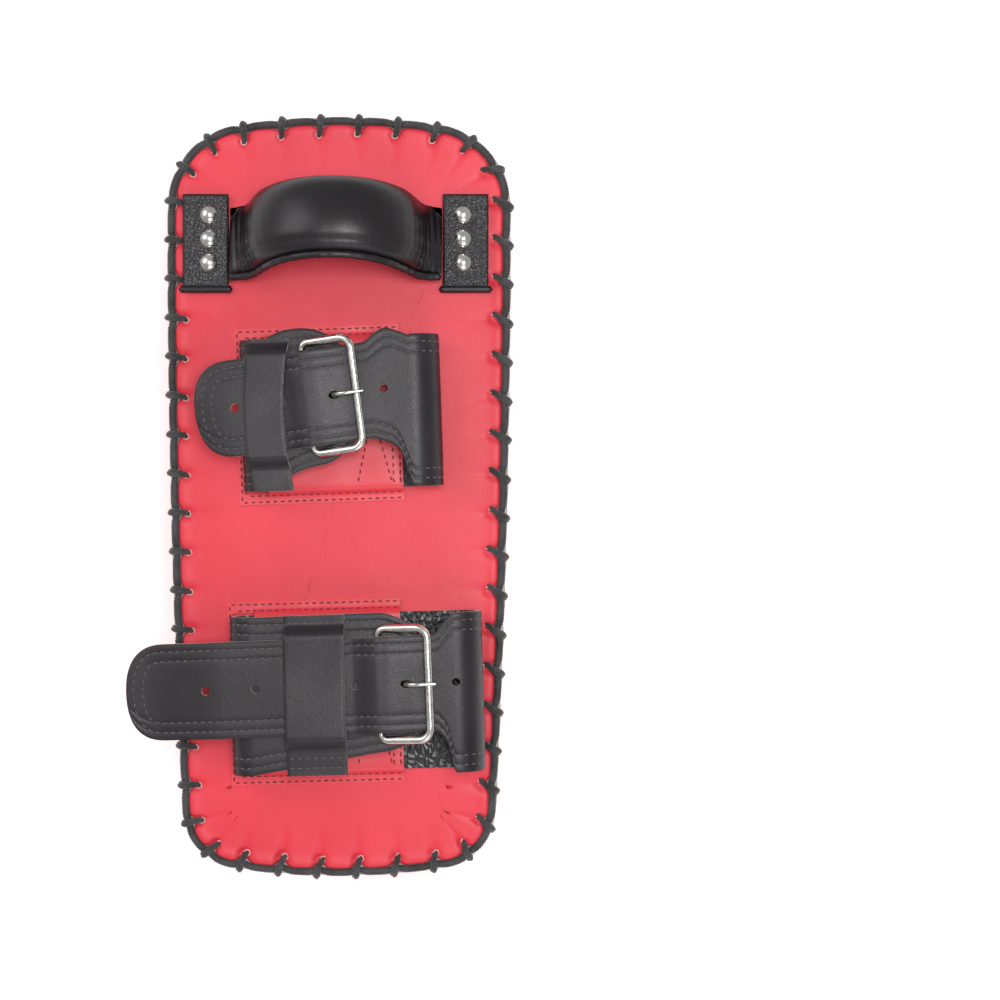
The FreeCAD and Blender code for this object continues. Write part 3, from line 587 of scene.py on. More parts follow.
def make_front_cover():
    """The red strike face and sides: a tight cover over foam, gathered a little below the lacing."""
    rings = []
    lid = ring_at(6.0, LID_Z)
    for share in (0.2, 0.6):
        rings.append(shrunk(lid, share, LID_Z))
    rings.append(lid)
    for z in (85.6, 83.5, 80.0, 76.0, 70.0, 62.0, 52.0, 42.0, 33.0, 27.0):
        gather = (STITCH_PULL - 0.5) * 0.9 * math.exp(-(RIM_Z - z) / 9.0) * PUCKER
        crease = 0.35 * np.sin(np.arange(RING) * (1.54 / 10.0) + z * 0.02) * math.exp(-(RIM_Z - z) / 30.0)
        belly = -1.3 * math.sin(math.pi * min(1.0, (RIM_Z - z) / 60.0))
        inset = COVER_INSET + (0.3 if z > LID_Z + 0.1 else 0.0) + belly + gather + crease * 0.6
        rings.append(ring_at(inset, z))
    for angle in np.radians([8, 18, 28, 38, 48, 58, 68, 78, 86]):
        inset = COVER_INSET - math.cos(angle) + STRIKE_EDGE * (1.0 - math.cos(angle))
        ring = ring_at(inset, STRIKE_EDGE * (1.0 - math.sin(angle)))
        ring[:, 2] = np.maximum(ring[:, 2] + uneven(ring, 60.0, 0.5, 5) * math.cos(angle), 0.02)
        rings.append(ring)
    last = rings[-1]
    for share in (0.97, 0.9, 0.78, 0.62, 0.45, 0.25, 0.1):
        rings.append(shrunk(last, share, 0.0))
    work = Builder()
    work.shell(rings, (0, 0, LID_Z), (0, 0, 0))
    piece = work.make("front_cover_leather", [RED])
    finish(piece, "root", "red_leather", "front_cover")


def finish(piece, body, slot, *nodes):
    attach(piece, body)
    if nodes:
        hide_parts(*nodes)


def make_edge_trims():
    """The pale welt that shows outside the lace, and the navy binding below it with its stitches."""
    wave = 0.45 * np.sin(PHASE * 2 * np.pi) * LOOSE_AT + uneven(on_outline(PLACES, 0.0), 40.0, 0.5, 11)
    out = -0.3 + wave * 0.6
    rows = [ring_at(5.3, 86.05), ring_at(1.5, 86.05), ring_at(out + 0.2, 86.1), ring_at(out, 86.7),
            ring_at(out + 0.2, 87.4), ring_at(1.5, 87.45), ring_at(5.3, 87.45)]
    work = Builder()
    work.grid(rows, close_rows=True, close_cols=True)
    welt = work.make("welt_edge", [EDGE])
    finish(welt, "root", "pale_edge", "welt_strip")
    low = BINDING_LOW + 0.25 * np.sin(np.arange(RING) * 0.09)
    gather = (STITCH_PULL - 0.5) * 0.35
    rows = [ring_at(3.1, low), ring_at(2.3 + gather, low + 0.1), ring_at(1.9 + gather, low + 1.0),
            ring_at(1.7 + gather, 84.0), ring_at(1.9, 85.7), ring_at(2.5, 86.0), ring_at(3.1, 86.0)]
    work = Builder()
    work.grid(rows, close_rows=True, close_cols=True)
    line = ring_at(1.85 + gather, BINDING_LOW + 1.9)
    line = np.vstack([line, line[:1]])
    normals = np.column_stack([outward(PLACES), np.zeros(RING)])
    normals = np.vstack([normals, normals[:1]])
    stitch_row(work, line, normals, 1, pitch=4.6, length=3.0, radius=0.42)
    binding = work.make("binding_tape", [NAVY, PALE_THREAD])
    finish(binding, "root", "navy_binding", "edge_binding")


LACE_STEPS = 44


def make_lace():
    """A braided lace laid along the edge; it is drawn in at every stitch.  Returns its stations."""
    per = LACE_STEPS
    count = STITCHES * per
    places = outline_stations(count)
    phase = (np.arange(count) / per) % 1.0
    loose = np.interp(np.arange(count) / per, np.arange(STITCHES) + 0.5, LOOSE, period=STITCHES)
    pull = bump(phase, 0.5, 0.17)
    inset = LACE_INSET + (0.75 * pull - 0.45 * (1.0 - pull)) * loose
    z = LACE_Z - 0.15 + 0.25 * np.sin(np.arange(count) * 2 * np.pi / per * 0.5) - 0.35 * pull
    points = np.column_stack([on_outline(places, inset), z])
    rib = np.where(np.arange(count) % 3 == 0, 0.82, 1.04)
    radius = LACE_RADIUS * rib * (1.0 - 0.14 * pull)
    work = Builder()
    work.tube(points, radius, sides=12, closed=True, squash=0.95)
    finish(work.make("edge_lace_braid", [LACE_CORD]), "root", "lace", "edge_lace")
    return places


def make_lacing():
    """The lace, the loops that tie it down and the small rims of the holes they go into."""
    places = make_lace()
    knots = Builder()
    rims = Builder()
    for k in range(STITCHES):
        place = places[int((k + 0.5) * LACE_STEPS)]
        n = np.array([math.cos(place[3]), math.sin(place[3]), 0.0])
        t = np.array([n[1], -n[0], 0.0])
        centre = np.array([place[0], place[1], 0.0]) + n * (place[2] - LACE_INSET - 0.5)
        right = smooth((n[0] - 0.5) / 0.4)
        far = smooth((-n[1] - 0.5) / 0.4)
        slant = 1.2 + 4.2 * right + 1.6 * far + RNG.uniform(-0.6, 0.6)
        hole = 6.0 + RNG.uniform(-0.5, 0.7)
        route = [(-hole, -slant * 0.55, 87.9), (-hole + 0.2, -slant * 0.5, 89.7),
                 (-hole * 0.66, -slant * 0.35, 90.9),
                 (-2.6, -slant * 0.12, 92.2), (-0.2, slant * 0.12, 92.9), (2.2, slant * 0.35, 91.6),
                 (3.5, slant * 0.5, 89.3), (3.1, slant * 0.55, 86.8), (1.4, slant * 0.6, 85.3)]
        line = curve_through([centre + n * a + t * b + np.array([0, 0, c]) for a, b, c in route], 7)
        share = np.linspace(0, 1, len(line))
        knots.tube(line, 1.0 + 0.75 * bump(share, 0.62, 0.16), sides=8)
        second = line + t * (0.9 + 0.5 * np.sin(share * np.pi))[:, None] - n * 0.3
        knots.tube(second[8:-6], 0.85, sides=8)
        ring = np.linspace(0, 2 * np.pi, 16, endpoint=False)
        spot = centre - n * hole - t * slant * 0.55
        loop = spot + 1.55 * (np.cos(ring)[:, None] * n + np.sin(ring)[:, None] * t) + np.array([0, 0, 89.05])
        rims.tube(loop, 0.28, sides=6, closed=True)
    finish(knots.make("lace_stitch_loops", [LACE_CORD]), "root", "lace", "lace_stitches")
    finish(rims.make("lace_hole_edges", [EDGE]), "root", "pale_edge")


# ---- arm straps ----

def turned(x, y, angle, origin):
    a = math.radians(angle)
    x, y = np.asarray(x, float), np.asarray(y, float)
    return np.stack([origin[0] + x * math.cos(a) - y * math.sin(a),
                     origin[1] + x * math.sin(a) + y * math.cos(a)], axis=-1)


def base_xy(strap, x, y):
    return turned(x, y, strap["turn"], strap["centre"])


def band_xy(strap, x, y):
    return turned(x, y, strap["band_turn"], strap["hole"])


COLUMNS_IN = [0.0, 0.25, 0.8, 1.8, 3.0, 3.6, 4.0, 4.4, 5.2, 7.0, 8.2, 8.7, 9.0, 9.4, 10.2, 12.5, 16.0]
STITCH_ROWS = (4.0, 9.0)
FULL_WIDTH = 44.0
PUFF = 0.105
CREASE_ANGLE = 50.0
PUNCH_LOW, PUNCH_HIGH = 100.5, 130.0
PUNCH_RADIUS = 2.2
PRONG_STRETCH = 0.7
HOLE_CLEAR = 3.0
EDGE_IN = 0.6
WRAP_RADIUS = 2.55
CHAPE_THICK = 1.1
ROUND_LENGTH = 21.0
NARROWEST = 3.0
DROOP_LENGTH = 40.0
KEEPER_FOOT, KEEPER_ROOF = 112.15, 116.75
KEEPER_THICK = 1.7
KEEPER_TO_TIP = 5.0
PATCH_FOOT = 91.2
PATCH_STEP = 94.6 - 91.2
MARGIN_Z = 91.25
MARGIN_THICK = 1.15
HEEL_WIRE, FAR_WIRE = 1.75, 2.15


def strap_columns(width):
    """Places across a strap of this width, from its low edge, close together at the stitch rows."""
    ins = np.array(COLUMNS_IN) * min(1.0, width / FULL_WIDTH)
    return np.concatenate([ins, [width / 2.0], width - ins[::-1]])


def ribbon(work, low, high, thick, grooves=True, ripple=0.0, sew_span=(0.0, 1.0), upward=-3, threads=None):
    """A strap between two edge lines.  Its leather side faces up at the station numbered upward."""
    low, high = np.asarray(low, float), np.asarray(high, float)
    n = len(low)
    width = np.linalg.norm(high - low, axis=1)
    spots = np.array([strap_columns(w) / max(w, 1e-6) for w in width])
    middle = low[:, None] + (high - low)[:, None] * spots[:, :, None]
    along = unit(np.gradient(middle, axis=0))
    across = unit(np.broadcast_to((high - low)[:, None], middle.shape))
    normal = unit(np.cross(along, across))
    if normal[upward, spots.shape[1] // 2, 2] < 0:
        normal = -normal
    inward = spots * width[:, None]
    inward = np.minimum(inward, width[:, None] - inward)
    height = np.full(inward.shape, thick / 2.0)
    height -= 0.28 * np.exp(-(inward / 0.5) ** 2)
    if grooves:
        for row in STITCH_ROWS:
            height -= 0.22 * bump(inward, row * np.minimum(1.0, width[:, None] / FULL_WIDTH), 0.55)
        height += PUFF * np.sin(np.clip(inward / 22.0, 0, 1) * np.pi / 2)
    if ripple:
        flat = middle.reshape(-1, 3)
        height += uneven(flat, 38.0, ripple, 21).reshape(height.shape)
    top = middle + normal * height[:, :, None]
    under = middle - normal * (thick / 2.0)
    work.plate(top, under, (0, 1, 2))
    if threads is None:
        return
    first, stop = int(sew_span[0] * (n - 1)), int(sew_span[1] * (n - 1)) + 1
    for side in ("low", "high"):
        for row in STITCH_ROWS:
            inset = row * np.minimum(1.0, width / FULL_WIDTH)
            share = inset / width if side == "low" else 1.0 - inset / width
            column = np.array([np.argmin(abs(spots[i] - share[i])) for i in range(n)])
            pick = np.arange(n)
            stitch_row(threads, top[pick, column][first:stop], normal[pick, column][first:stop], 3)


def stations(points, spacing=1.4):
    """Evenly resampled edge lines: points is a list of (low xyz, high xyz)."""
    joined = np.array([np.concatenate([a, b]) for a, b in points])
    middle = (joined[:, :3] + joined[:, 3:]) / 2.0
    length = np.linalg.norm(np.diff(middle, axis=0), axis=1)
    along = np.concatenate([[0.0], np.cumsum(length)])
    count = max(8, int(along[-1] / spacing))
    at = np.linspace(0, along[-1], count)
    out = np.column_stack([np.interp(at, along, joined[:, k]) for k in range(6)])
    return out[:, :3], out[:, 3:]


def straight_up(count):
    return np.tile([0, 0, 1.0], (count, 1))


def with_z(xy, z):
    return np.array([xy[0], xy[1], z])


def edges_at(place, strap, x, half, z):
    """The two edge points of a strap at x; place is base_xy or band_xy."""
    return with_z(place(strap, x, -half), z), with_z(place(strap, x, half), z)


def base_rows(strap, xs):
    z = STRAP_LOW + STRAP_THICK / 2.0
    return [edges_at(base_xy, strap, x, strap["half"] - EDGE_IN, z) for x in xs]


def flat_run(low_points, high_points, z, per_span):
    """Edge points along two smooth lines at one height."""
    lows, highs = curve_through(low_points, per_span), curve_through(high_points, per_span)
    return [(with_z(a, z), with_z(b, z)) for a, b in zip(lows, highs)]


def fold_points(strap, side):
    """Edge points of a fold's middle surface, from the base up and over."""
    radius = BUCKLE_FOLD if side == "left" else TIP_FOLD
    sign = -1.0 if side == "left" else 1.0
    mid = radius - STRAP_THICK / 2.0
    cx = strap[side] - sign * radius
    cz = STRAP_LOW + radius
    rows = []
    for angle in np.radians(np.arange(-90, 91, 7.5)):
        squeeze = 1.0 + 0.05 * math.cos(angle) ** 2
        x = cx + sign * mid * math.cos(angle) * squeeze
        rows.append(edges_at(base_xy, strap, x, strap["half"] - EDGE_IN, cz + mid * math.sin(angle)))
    return rows


def punch(piece, strap, places, half_length):
    """Cuts the strap's holes, leaving raw leather inside them."""
    cutter = Builder()
    ring = np.linspace(0, 2 * np.pi, 20, endpoint=False)
    for x, stretch in zip(places, half_length):
        spot = band_xy(strap, x, 0.0)
        a = math.radians(strap["band_turn"])
        lx = PUNCH_RADIUS * np.cos(ring) + np.sign(np.cos(ring)) * stretch
        ly = PUNCH_RADIUS * np.sin(ring)
        px = spot[0] + lx * math.cos(a) - ly * math.sin(a)
        py = spot[1] + lx * math.sin(a) + ly * math.cos(a)
        rings = [np.column_stack([px, py, np.full(len(ring), z)]) for z in (PUNCH_LOW, PUNCH_HIGH)]
        cutter.shell(rings, (*spot, PUNCH_LOW), (*spot, PUNCH_HIGH), mat=2)
    tool = cutter.make("punch", STRAP_MATERIALS)
    cut = piece.modifiers.new("holes", "BOOLEAN")
    cut.operation = "DIFFERENCE"
    cut.solver = "EXACT"
    cut.use_self = True
    cut.object = tool
    apply_modifiers(piece)
    bpy.data.objects.remove(tool)
    work = bmesh.new()
    work.from_mesh(piece.data)
    sharpen(work, CREASE_ANGLE)
    work.to_mesh(piece.data)
    work.free()


def join_threads(piece, threads):
    """Adds the threads to a punched strap as part of the same mesh."""
    extra = threads.make("threads", STRAP_MATERIALS)
    work = bmesh.new()
    work.from_mesh(piece.data)
    work.from_mesh(extra.data)
    work.to_mesh(piece.data)
    work.free()
    bpy.data.objects.remove(extra)


def keeper_hinge(strap):
    """Where the free tip bends, along the band."""
    return strap["keeper"][0] - strap["hole"][0] - KEEPER_TO_TIP


def strap_height(x):
    """Middle height of the tip strap along the band: flat, up over the chape, then down to the keeper."""
    high = TIP_FOLD * 2.0 + STRAP_LOW - STRAP_THICK / 2.0
    z = high + (CREST_MID - high) * smooth((FAR_X - 4.0 - x) / 18.0)
    return z + (LOW_MID - CREST_MID) * smooth((HEEL_X - 1.0 - x) / 12.0)


def make_tip_strap(name, strap):
    """The strap from under the patch, round the tip-side fold and through the buckle to the keeper."""
    half = BAND_HALF
    start = min(strap["patch"][1] - 6.0, 20.0)
    base_half = strap["half"] - EDGE_IN
    rows = base_rows(strap, np.arange(start, strap["right"] - TIP_FOLD, 3.0))
    rows += fold_points(strap, "right")
    flat = STRAP_LOW + 2 * TIP_FOLD - STRAP_THICK / 2.0
    fold_x = strap["right"] - TIP_FOLD
    room = fold_x + strap["centre"][0] - strap["hole"][0]
    neck = min(FAR_X + 7.0, room - 9.5)
    bend = neck + 0.5 * (room - neck)
    low_in = [base_xy(strap, fold_x - 1.0, -base_half + 0.6), band_xy(strap, bend, -half - 7.0),
              band_xy(strap, neck, -half - 0.3)]
    high_in = [base_xy(strap, fold_x - 1.0, base_half - 0.6), band_xy(strap, bend, half + 6.0),
               band_xy(strap, neck, half + 0.3)]
    rows += flat_run(low_in, high_in, flat, 6)
    end = keeper_hinge(strap) + 6.5
    for x in np.arange(neck - 1.5, end, -1.5):
        rows.append(edges_at(band_xy, strap, x, half, float(strap_height(x))))
    low, high = stations(rows)
    work = Builder()
    threads = Builder()
    ribbon(work, low, high, STRAP_THICK - 0.2, ripple=0.25, sew_span=(0.18, 1.0), threads=threads)
    piece = work.make(name + "_tip_strap_leather", STRAP_MATERIALS, sharp=CREASE_ANGLE)
    inside = sorted({h for h in strap["holes"] if h * HOLE_PITCH > end + HOLE_CLEAR} | {1})
    punch(piece, strap, [0.0] + [h * HOLE_PITCH for h in inside], [PRONG_STRETCH] + [0.0] * len(inside))
    join_threads(piece, threads)
    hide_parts(name + "_tip_fold", name + "_tip_strap")
    lift_blend(piece)


def lift_blend(piece):
    """Bakes the piece's world placement into its mesh."""
    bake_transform(piece)


def make_buckle_strap(name, strap):
    """The strap from the base, round the buckle-side fold to the flap under the buckle, with its chape."""
    base_half = strap["half"] - EDGE_IN
    start = min(strap["patch"][1] - 8.0, 18.0)
    rows = base_rows(strap, np.arange(start, strap["left"] + BUCKLE_FOLD, -3.0))
    rows += fold_points(strap, "left")
    top = STRAP_LOW + 2 * BUCKLE_FOLD - STRAP_THICK / 2.0
    fold_x = strap["left"] + BUCKLE_FOLD
    low_in = [base_xy(strap, fold_x + 2, -base_half + 0.4), band_xy(strap, HEEL_X - 8, -36.5),
              band_xy(strap, HEEL_X + 8, -34.0), band_xy(strap, FAR_X - 6, -27),
              band_xy(strap, FAR_X - 3, -19)]
    high_in = [base_xy(strap, fold_x + 2, base_half - 0.4), band_xy(strap, HEEL_X - 8, 37.0),
               band_xy(strap, HEEL_X + 6, 36.0), band_xy(strap, FAR_X - 8, 29), band_xy(strap, FAR_X - 3, 19)]
    rows += flat_run(low_in, high_in, top, 8)
    low, high = stations(rows)
    work = Builder()
    ribbon(work, low, high, STRAP_THICK - 0.4, sew_span=(0.35, 1.0), threads=work)
    make_chape(work, strap)
    piece = work.make(name + "_buckle_strap_leather", STRAP_MATERIALS, sharp=CREASE_ANGLE)
    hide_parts(name + "_base_strap", name + "_buckle_fold", name + "_buckle_strap")
    lift_blend(piece)


def make_chape(work, strap):
    """The thin leather that wraps the heel bar, in two halves either side of the prong."""
    mid = WRAP_RADIUS
    route = [(HEEL_X - 11.0, 111.3), (HEEL_X - 6.0, 112.6)]
    for angle in np.radians(np.arange(130, -100, -20)):
        route.append((HEEL_X + mid * math.cos(angle), HEEL_Z + mid * math.sin(angle)))
    route = curve_through(route, 4)
    for y0, y1 in ((-24.0, -2.7), (2.7, 24.0)):
        low = np.array([with_z(band_xy(strap, x, y0), z) for x, z in route])
        high = np.array([with_z(band_xy(strap, x, y1), z) for x, z in route])
        ribbon(work, low, high, CHAPE_THICK, grooves=False, upward=2)


def tip_half(x, end):
    """Half the strap's width at x, where its end is rounded off."""
    share = min(1.0, max(0.0, (end + ROUND_LENGTH - x) / ROUND_LENGTH))
    return BAND_HALF * max(1.0 - share ** 2.6, 0.0) ** 0.42


def tip_height(x, strap):
    """Middle height of the free tip, which droops past the buckle strap's fold."""
    return LOW_MID - strap["droop"] * smooth((strap["left"] - strap["hole"][0] - 4.0 - x) / DROOP_LENGTH)


def split_rows(rows):
    return np.array([low for low, high in rows]), np.array([high for low, high in rows])


def make_strap_tip(name, strap):
    """The free end of the strap, left of the keeper."""
    hinge = keeper_hinge(strap)
    start, end = hinge + 6.0, strap["tip"] + 0.3
    rows = []
    xs = np.concatenate([np.arange(start, end + ROUND_LENGTH, -1.4),
                         end + ROUND_LENGTH * (1.0 - np.sin(np.linspace(0, np.pi / 2, 22)))])
    for x in xs:
        half = max(tip_half(x, end), NARROWEST)
        rows.append(edges_at(band_xy, strap, x, half, float(tip_height(x, strap))))
    low, high = split_rows(rows)
    work = Builder()
    ribbon(work, low, high, STRAP_THICK - 0.2, ripple=0.2)
    threads = Builder()
    for inset in STITCH_ROWS:
        line = np.column_stack([xs, [tip_half(x, end) for x in xs]])
        line = np.vstack([line, line[::-1][1:] * [1, -1]])
        tangent = unit(np.gradient(line, axis=0))
        side = np.column_stack([-tangent[:, 1], tangent[:, 0]])
        line = line + side * inset * (1.0 if np.dot(side[2], [0, -1]) > 0 else -1.0)
        xy = band_xy(strap, line[:, 0], line[:, 1])
        z = tip_height(line[:, 0], strap) + STRAP_THICK / 2.0 - 0.15
        stitch_row(threads, np.column_stack([xy, z]), straight_up(len(z)), 3)
    piece = work.make(name + "_strap_tip_leather", STRAP_MATERIALS, sharp=CREASE_ANGLE)
    places = [h * HOLE_PITCH for h in strap["holes"] if h * HOLE_PITCH < start - HOLE_CLEAR]
    if places:
        punch(piece, strap, places, [0.0] * len(places))
    join_threads(piece, threads)
    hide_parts(name + "_strap_tip")
    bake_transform(piece)


def make_keeper(name, strap):
    """A strip over the tip strap, sewn down at both ends; its long edges bow a little."""
    x0, x1 = strap["keeper"]
    middle = (x0 + x1) / 2.0
    centre_y = (strap["hole"][1] + (middle - strap["hole"][0]) * math.tan(math.radians(strap["band_turn"]))
                - strap["centre"][1])
    half = strap["half"] - 0.4
    foot, roof = KEEPER_FOOT, KEEPER_ROOF
    rows = []
    for y in np.linspace(-half, half, 70):
        lift = smooth((BAND_HALF + 8.0 - abs(y - centre_y)) / 7.0)
        z = foot + (roof - foot) * float(lift) + 0.5 * math.sin(y * 0.09 + x0)
        z = max(z, foot)
        bow = math.cos(math.pi * y / (2.0 * half + 6.0))
        left = x0 + 2.0 - strap["bow"][0] * bow
        right = x1 + 1.5 - strap["bow"][1] * bow
        rows.append((with_z(base_xy(strap, left, y), z), with_z(base_xy(strap, right, y), z)))
    low, high = split_rows(rows)
    work = Builder()
    ribbon(work, low, high, KEEPER_THICK, grooves=False, ripple=0.3)
    xs = np.linspace(x0 + 2.5, x1 - 1.0, 20)
    for end in (1.0, -1.0):
        for inset in STITCH_ROWS:
            xy = base_xy(strap, xs, np.full(len(xs), end * (half - inset)))
            row = np.column_stack([xy, np.full(len(xs), foot + 0.95)])
            stitch_row(work, row, straight_up(len(xs)), 3)
    piece = work.make(name + "_keeper_leather", STRAP_MATERIALS, sharp=CREASE_ANGLE)
    finish(piece, name + "_band", "black_leather", name + "_keeper")


def make_red_patch(name, strap):
    """The red patch over the base strap, its margins pressed down on the panel, with its rows of stitches."""
    half = strap["half"] + 0.8
    outer = half + 5.6
    left, right = strap["patch"]
    plate_left = strap["left"] + BUCKLE_FOLD + 1.2
    work = Builder()
    ys = np.concatenate([np.linspace(-outer, -half + 1.0, 12), np.linspace(-half + 3.0, half - 3.0, 30),
                         np.linspace(half - 1.0, outer, 12)])
    xs = np.linspace(plate_left, right, 50)
    top = []
    for x in xs:
        inside = smooth((half + 2.2 - np.abs(ys)) / 4.0)
        z = PATCH_FOOT + PATCH_STEP * inside
        z = z - 0.5 * bump(x, right, 2.0) * inside
        xy = base_xy(strap, np.full(len(ys), x), ys)
        top.append(np.column_stack([xy, z]))
    top = np.array(top)
    top[:, :, 2] += uneven(top.reshape(-1, 3), 30.0, 0.25, 31).reshape(top.shape[:2])
    under = top - np.array([0, 0, 1.1])
    work.plate(top, under)
    margins = [(np.linspace(left, plate_left, 14), np.linspace(sign * half, sign * outer, 6))
               for sign in (-1, 1)]
    margins.append((np.array([left, left + 1.5, left + 3.0]), np.linspace(-half, half, 30)))
    for across, along in margins:
        rows = np.array([np.column_stack([base_xy(strap, np.full(len(along), x), along),
                                          np.full(len(along), MARGIN_Z)]) for x in across])
        work.plate(rows, rows - np.array([0, 0, MARGIN_THICK]))

    def sew(points):
        points = np.asarray(points, float)
        line = resample(points, 60)
        xy = base_xy(strap, line[:, 0], line[:, 1])
        inside = smooth((half + 2.2 - np.abs(line[:, 1])) / 4.0) * (line[:, 0] > plate_left)
        z = MARGIN_Z + PATCH_STEP * inside
        stitch_row(work, np.column_stack([xy, z]), straight_up(len(line)), 1, pitch=3.8, length=2.4,
                   radius=0.42, sink=-0.02)

    for sign in (-1, 1):
        sew([(left + 1.5, sign * (outer - 1.3)), (right - 0.6, sign * (outer - 1.3))])
        sew([(left + 5.0, sign * (outer - 4.6)), (right - 0.6, sign * (outer - 4.6))])
    for x in (right - 1.4, right - 5.0):
        sew([(x, -half + 3.0), (x, half - 3.0)])
    sew([(left + 1.5, -outer + 1.3), (left + 1.5, outer - 1.3)])
    for sign in (1, -1):
        sew([(right - 24.0, sign * (half - 4.0)), (right - 6.0, -sign * (half - 4.0))])
    piece = work.make(name + "_red_patch_leather", [RED_PATCH_PAINTED_SHEEN, RED_THREAD, EDGE], sharp=CREASE_ANGLE)
    finish(piece, "root", "red_leather", name + "_red_patch")


def make_buckle(name, strap):
    """A bent-wire frame with rounded corners, thinner at the heel bar, and its prong."""
    def frame_point(u, y):
        x = HEEL_X + (FAR_X - HEEL_X) * u
        z = HEEL_Z + (FAR_Z - HEEL_Z) * u
        return with_z(band_xy(strap, x, y), z)

    length = FAR_X - HEEL_X
    corner, heel_corner = 6.0, 4.0
    outline = []
    for cu, cy, a0 in ((length - corner, FRAME_HALF - corner, 90), (length - corner, -FRAME_HALF + corner, 0),
                       (heel_corner, -FRAME_HALF + heel_corner, -90),
                       (heel_corner, FRAME_HALF - heel_corner, -180)):
        r = heel_corner if cu == heel_corner else corner
        for angle in np.radians(np.linspace(a0, a0 - 90, 9)):
            outline.append((cu + r * math.cos(angle), cy + r * math.sin(angle)))
    outline = resample(outline, 150, closed=True)
    points = np.array([frame_point(u / length, y) for u, y in outline])
    radii = np.where(outline[:, 0] < 1.5, HEEL_WIRE, FAR_WIRE)
    radii = np.convolve(np.concatenate([radii[-3:], radii, radii[:3]]), np.ones(7) / 7.0, "valid")
    work = Builder()
    work.tube(points, radii, sides=16, closed=True)
    finish(work.make(name + "_buckle_wire", [NICKEL]), name + "_buckle", "nickel", name + "_buckle_frame")
    route = [(HEEL_X + 2.2, 111.2), (HEEL_X + 6.0, 111.3), (-3.6, 111.9), (-1.2, 113.4), (-0.2, 116.0),
             (0.4, 119.4), (2.2, 122.4), (5.6, 123.8), (9.5, 124.0), (13.0, 124.0), (15.6, 123.7)]
    line = curve_through([with_z(band_xy(strap, x, 0.0), z) for x, z in route], 8)
    share = np.linspace(0, 1, len(line))
    work = Builder()
    work.tube(line, 1.22 - 0.32 * smooth((share - 0.6) / 0.4), sides=12)
    ring = np.linspace(0, 2 * np.pi, 28, endpoint=False)
    for y in (-0.75, 0.75):
        loop = [with_z(band_xy(strap, HEEL_X + WRAP_RADIUS * math.cos(a), y),
                       HEEL_Z + WRAP_RADIUS * math.sin(a)) for a in ring]
        work.tube(loop, 0.68, sides=8, closed=True, flat_up=(0, 1, 0.001))
    prong = work.make(name + "_buckle_prong_wire", [NICKEL])
    finish(prong, name + "_prong", "nickel", name + "_buckle_prong")


# ---- handle ----

HANDLE_X, HANDLE_Y = -1.5, 135.0
LEAN = math.radians(15.0)
SPAN = 56.0
FOOT_R, CROWN_R, SIDE_L, RISE = 16.0, 40.0, 11.0, math.radians(60.0)
HANDLE_FOOT_Z = PANEL_TOP + 1.8
TAB_CREASE = 60.0


def arch_line(half_span, count):
    """Points of the handle's centre line (x, z) from the left foot to the right one."""
    foot = [(-half_span + FOOT_R * math.sin(a), FOOT_R * (1 - math.cos(a))) for a in np.linspace(0, RISE, 12)]
    ax, az = foot[-1]
    bx, bz = ax + SIDE_L * math.cos(RISE), az + SIDE_L * math.sin(RISE)
    cx, cz = bx + CROWN_R * math.sin(RISE), bz - CROWN_R * math.cos(RISE)
    crown = [(cx - CROWN_R * math.sin(a), cz + CROWN_R * math.cos(a)) for a in np.linspace(RISE, 0, 20)]
    half = foot + crown
    full = half + [(-x, z) for x, z in reversed(half)]
    return resample(full, count)


def handle_place(x, y, z):
    """From the handle's own upright plane to the pad, leaning towards the handle end."""
    return np.stack([HANDLE_X + x, HANDLE_Y + y * math.cos(LEAN) + z * math.sin(LEAN),
                     HANDLE_FOOT_Z - y * math.sin(LEAN) + z * math.cos(LEAN)], axis=-1)


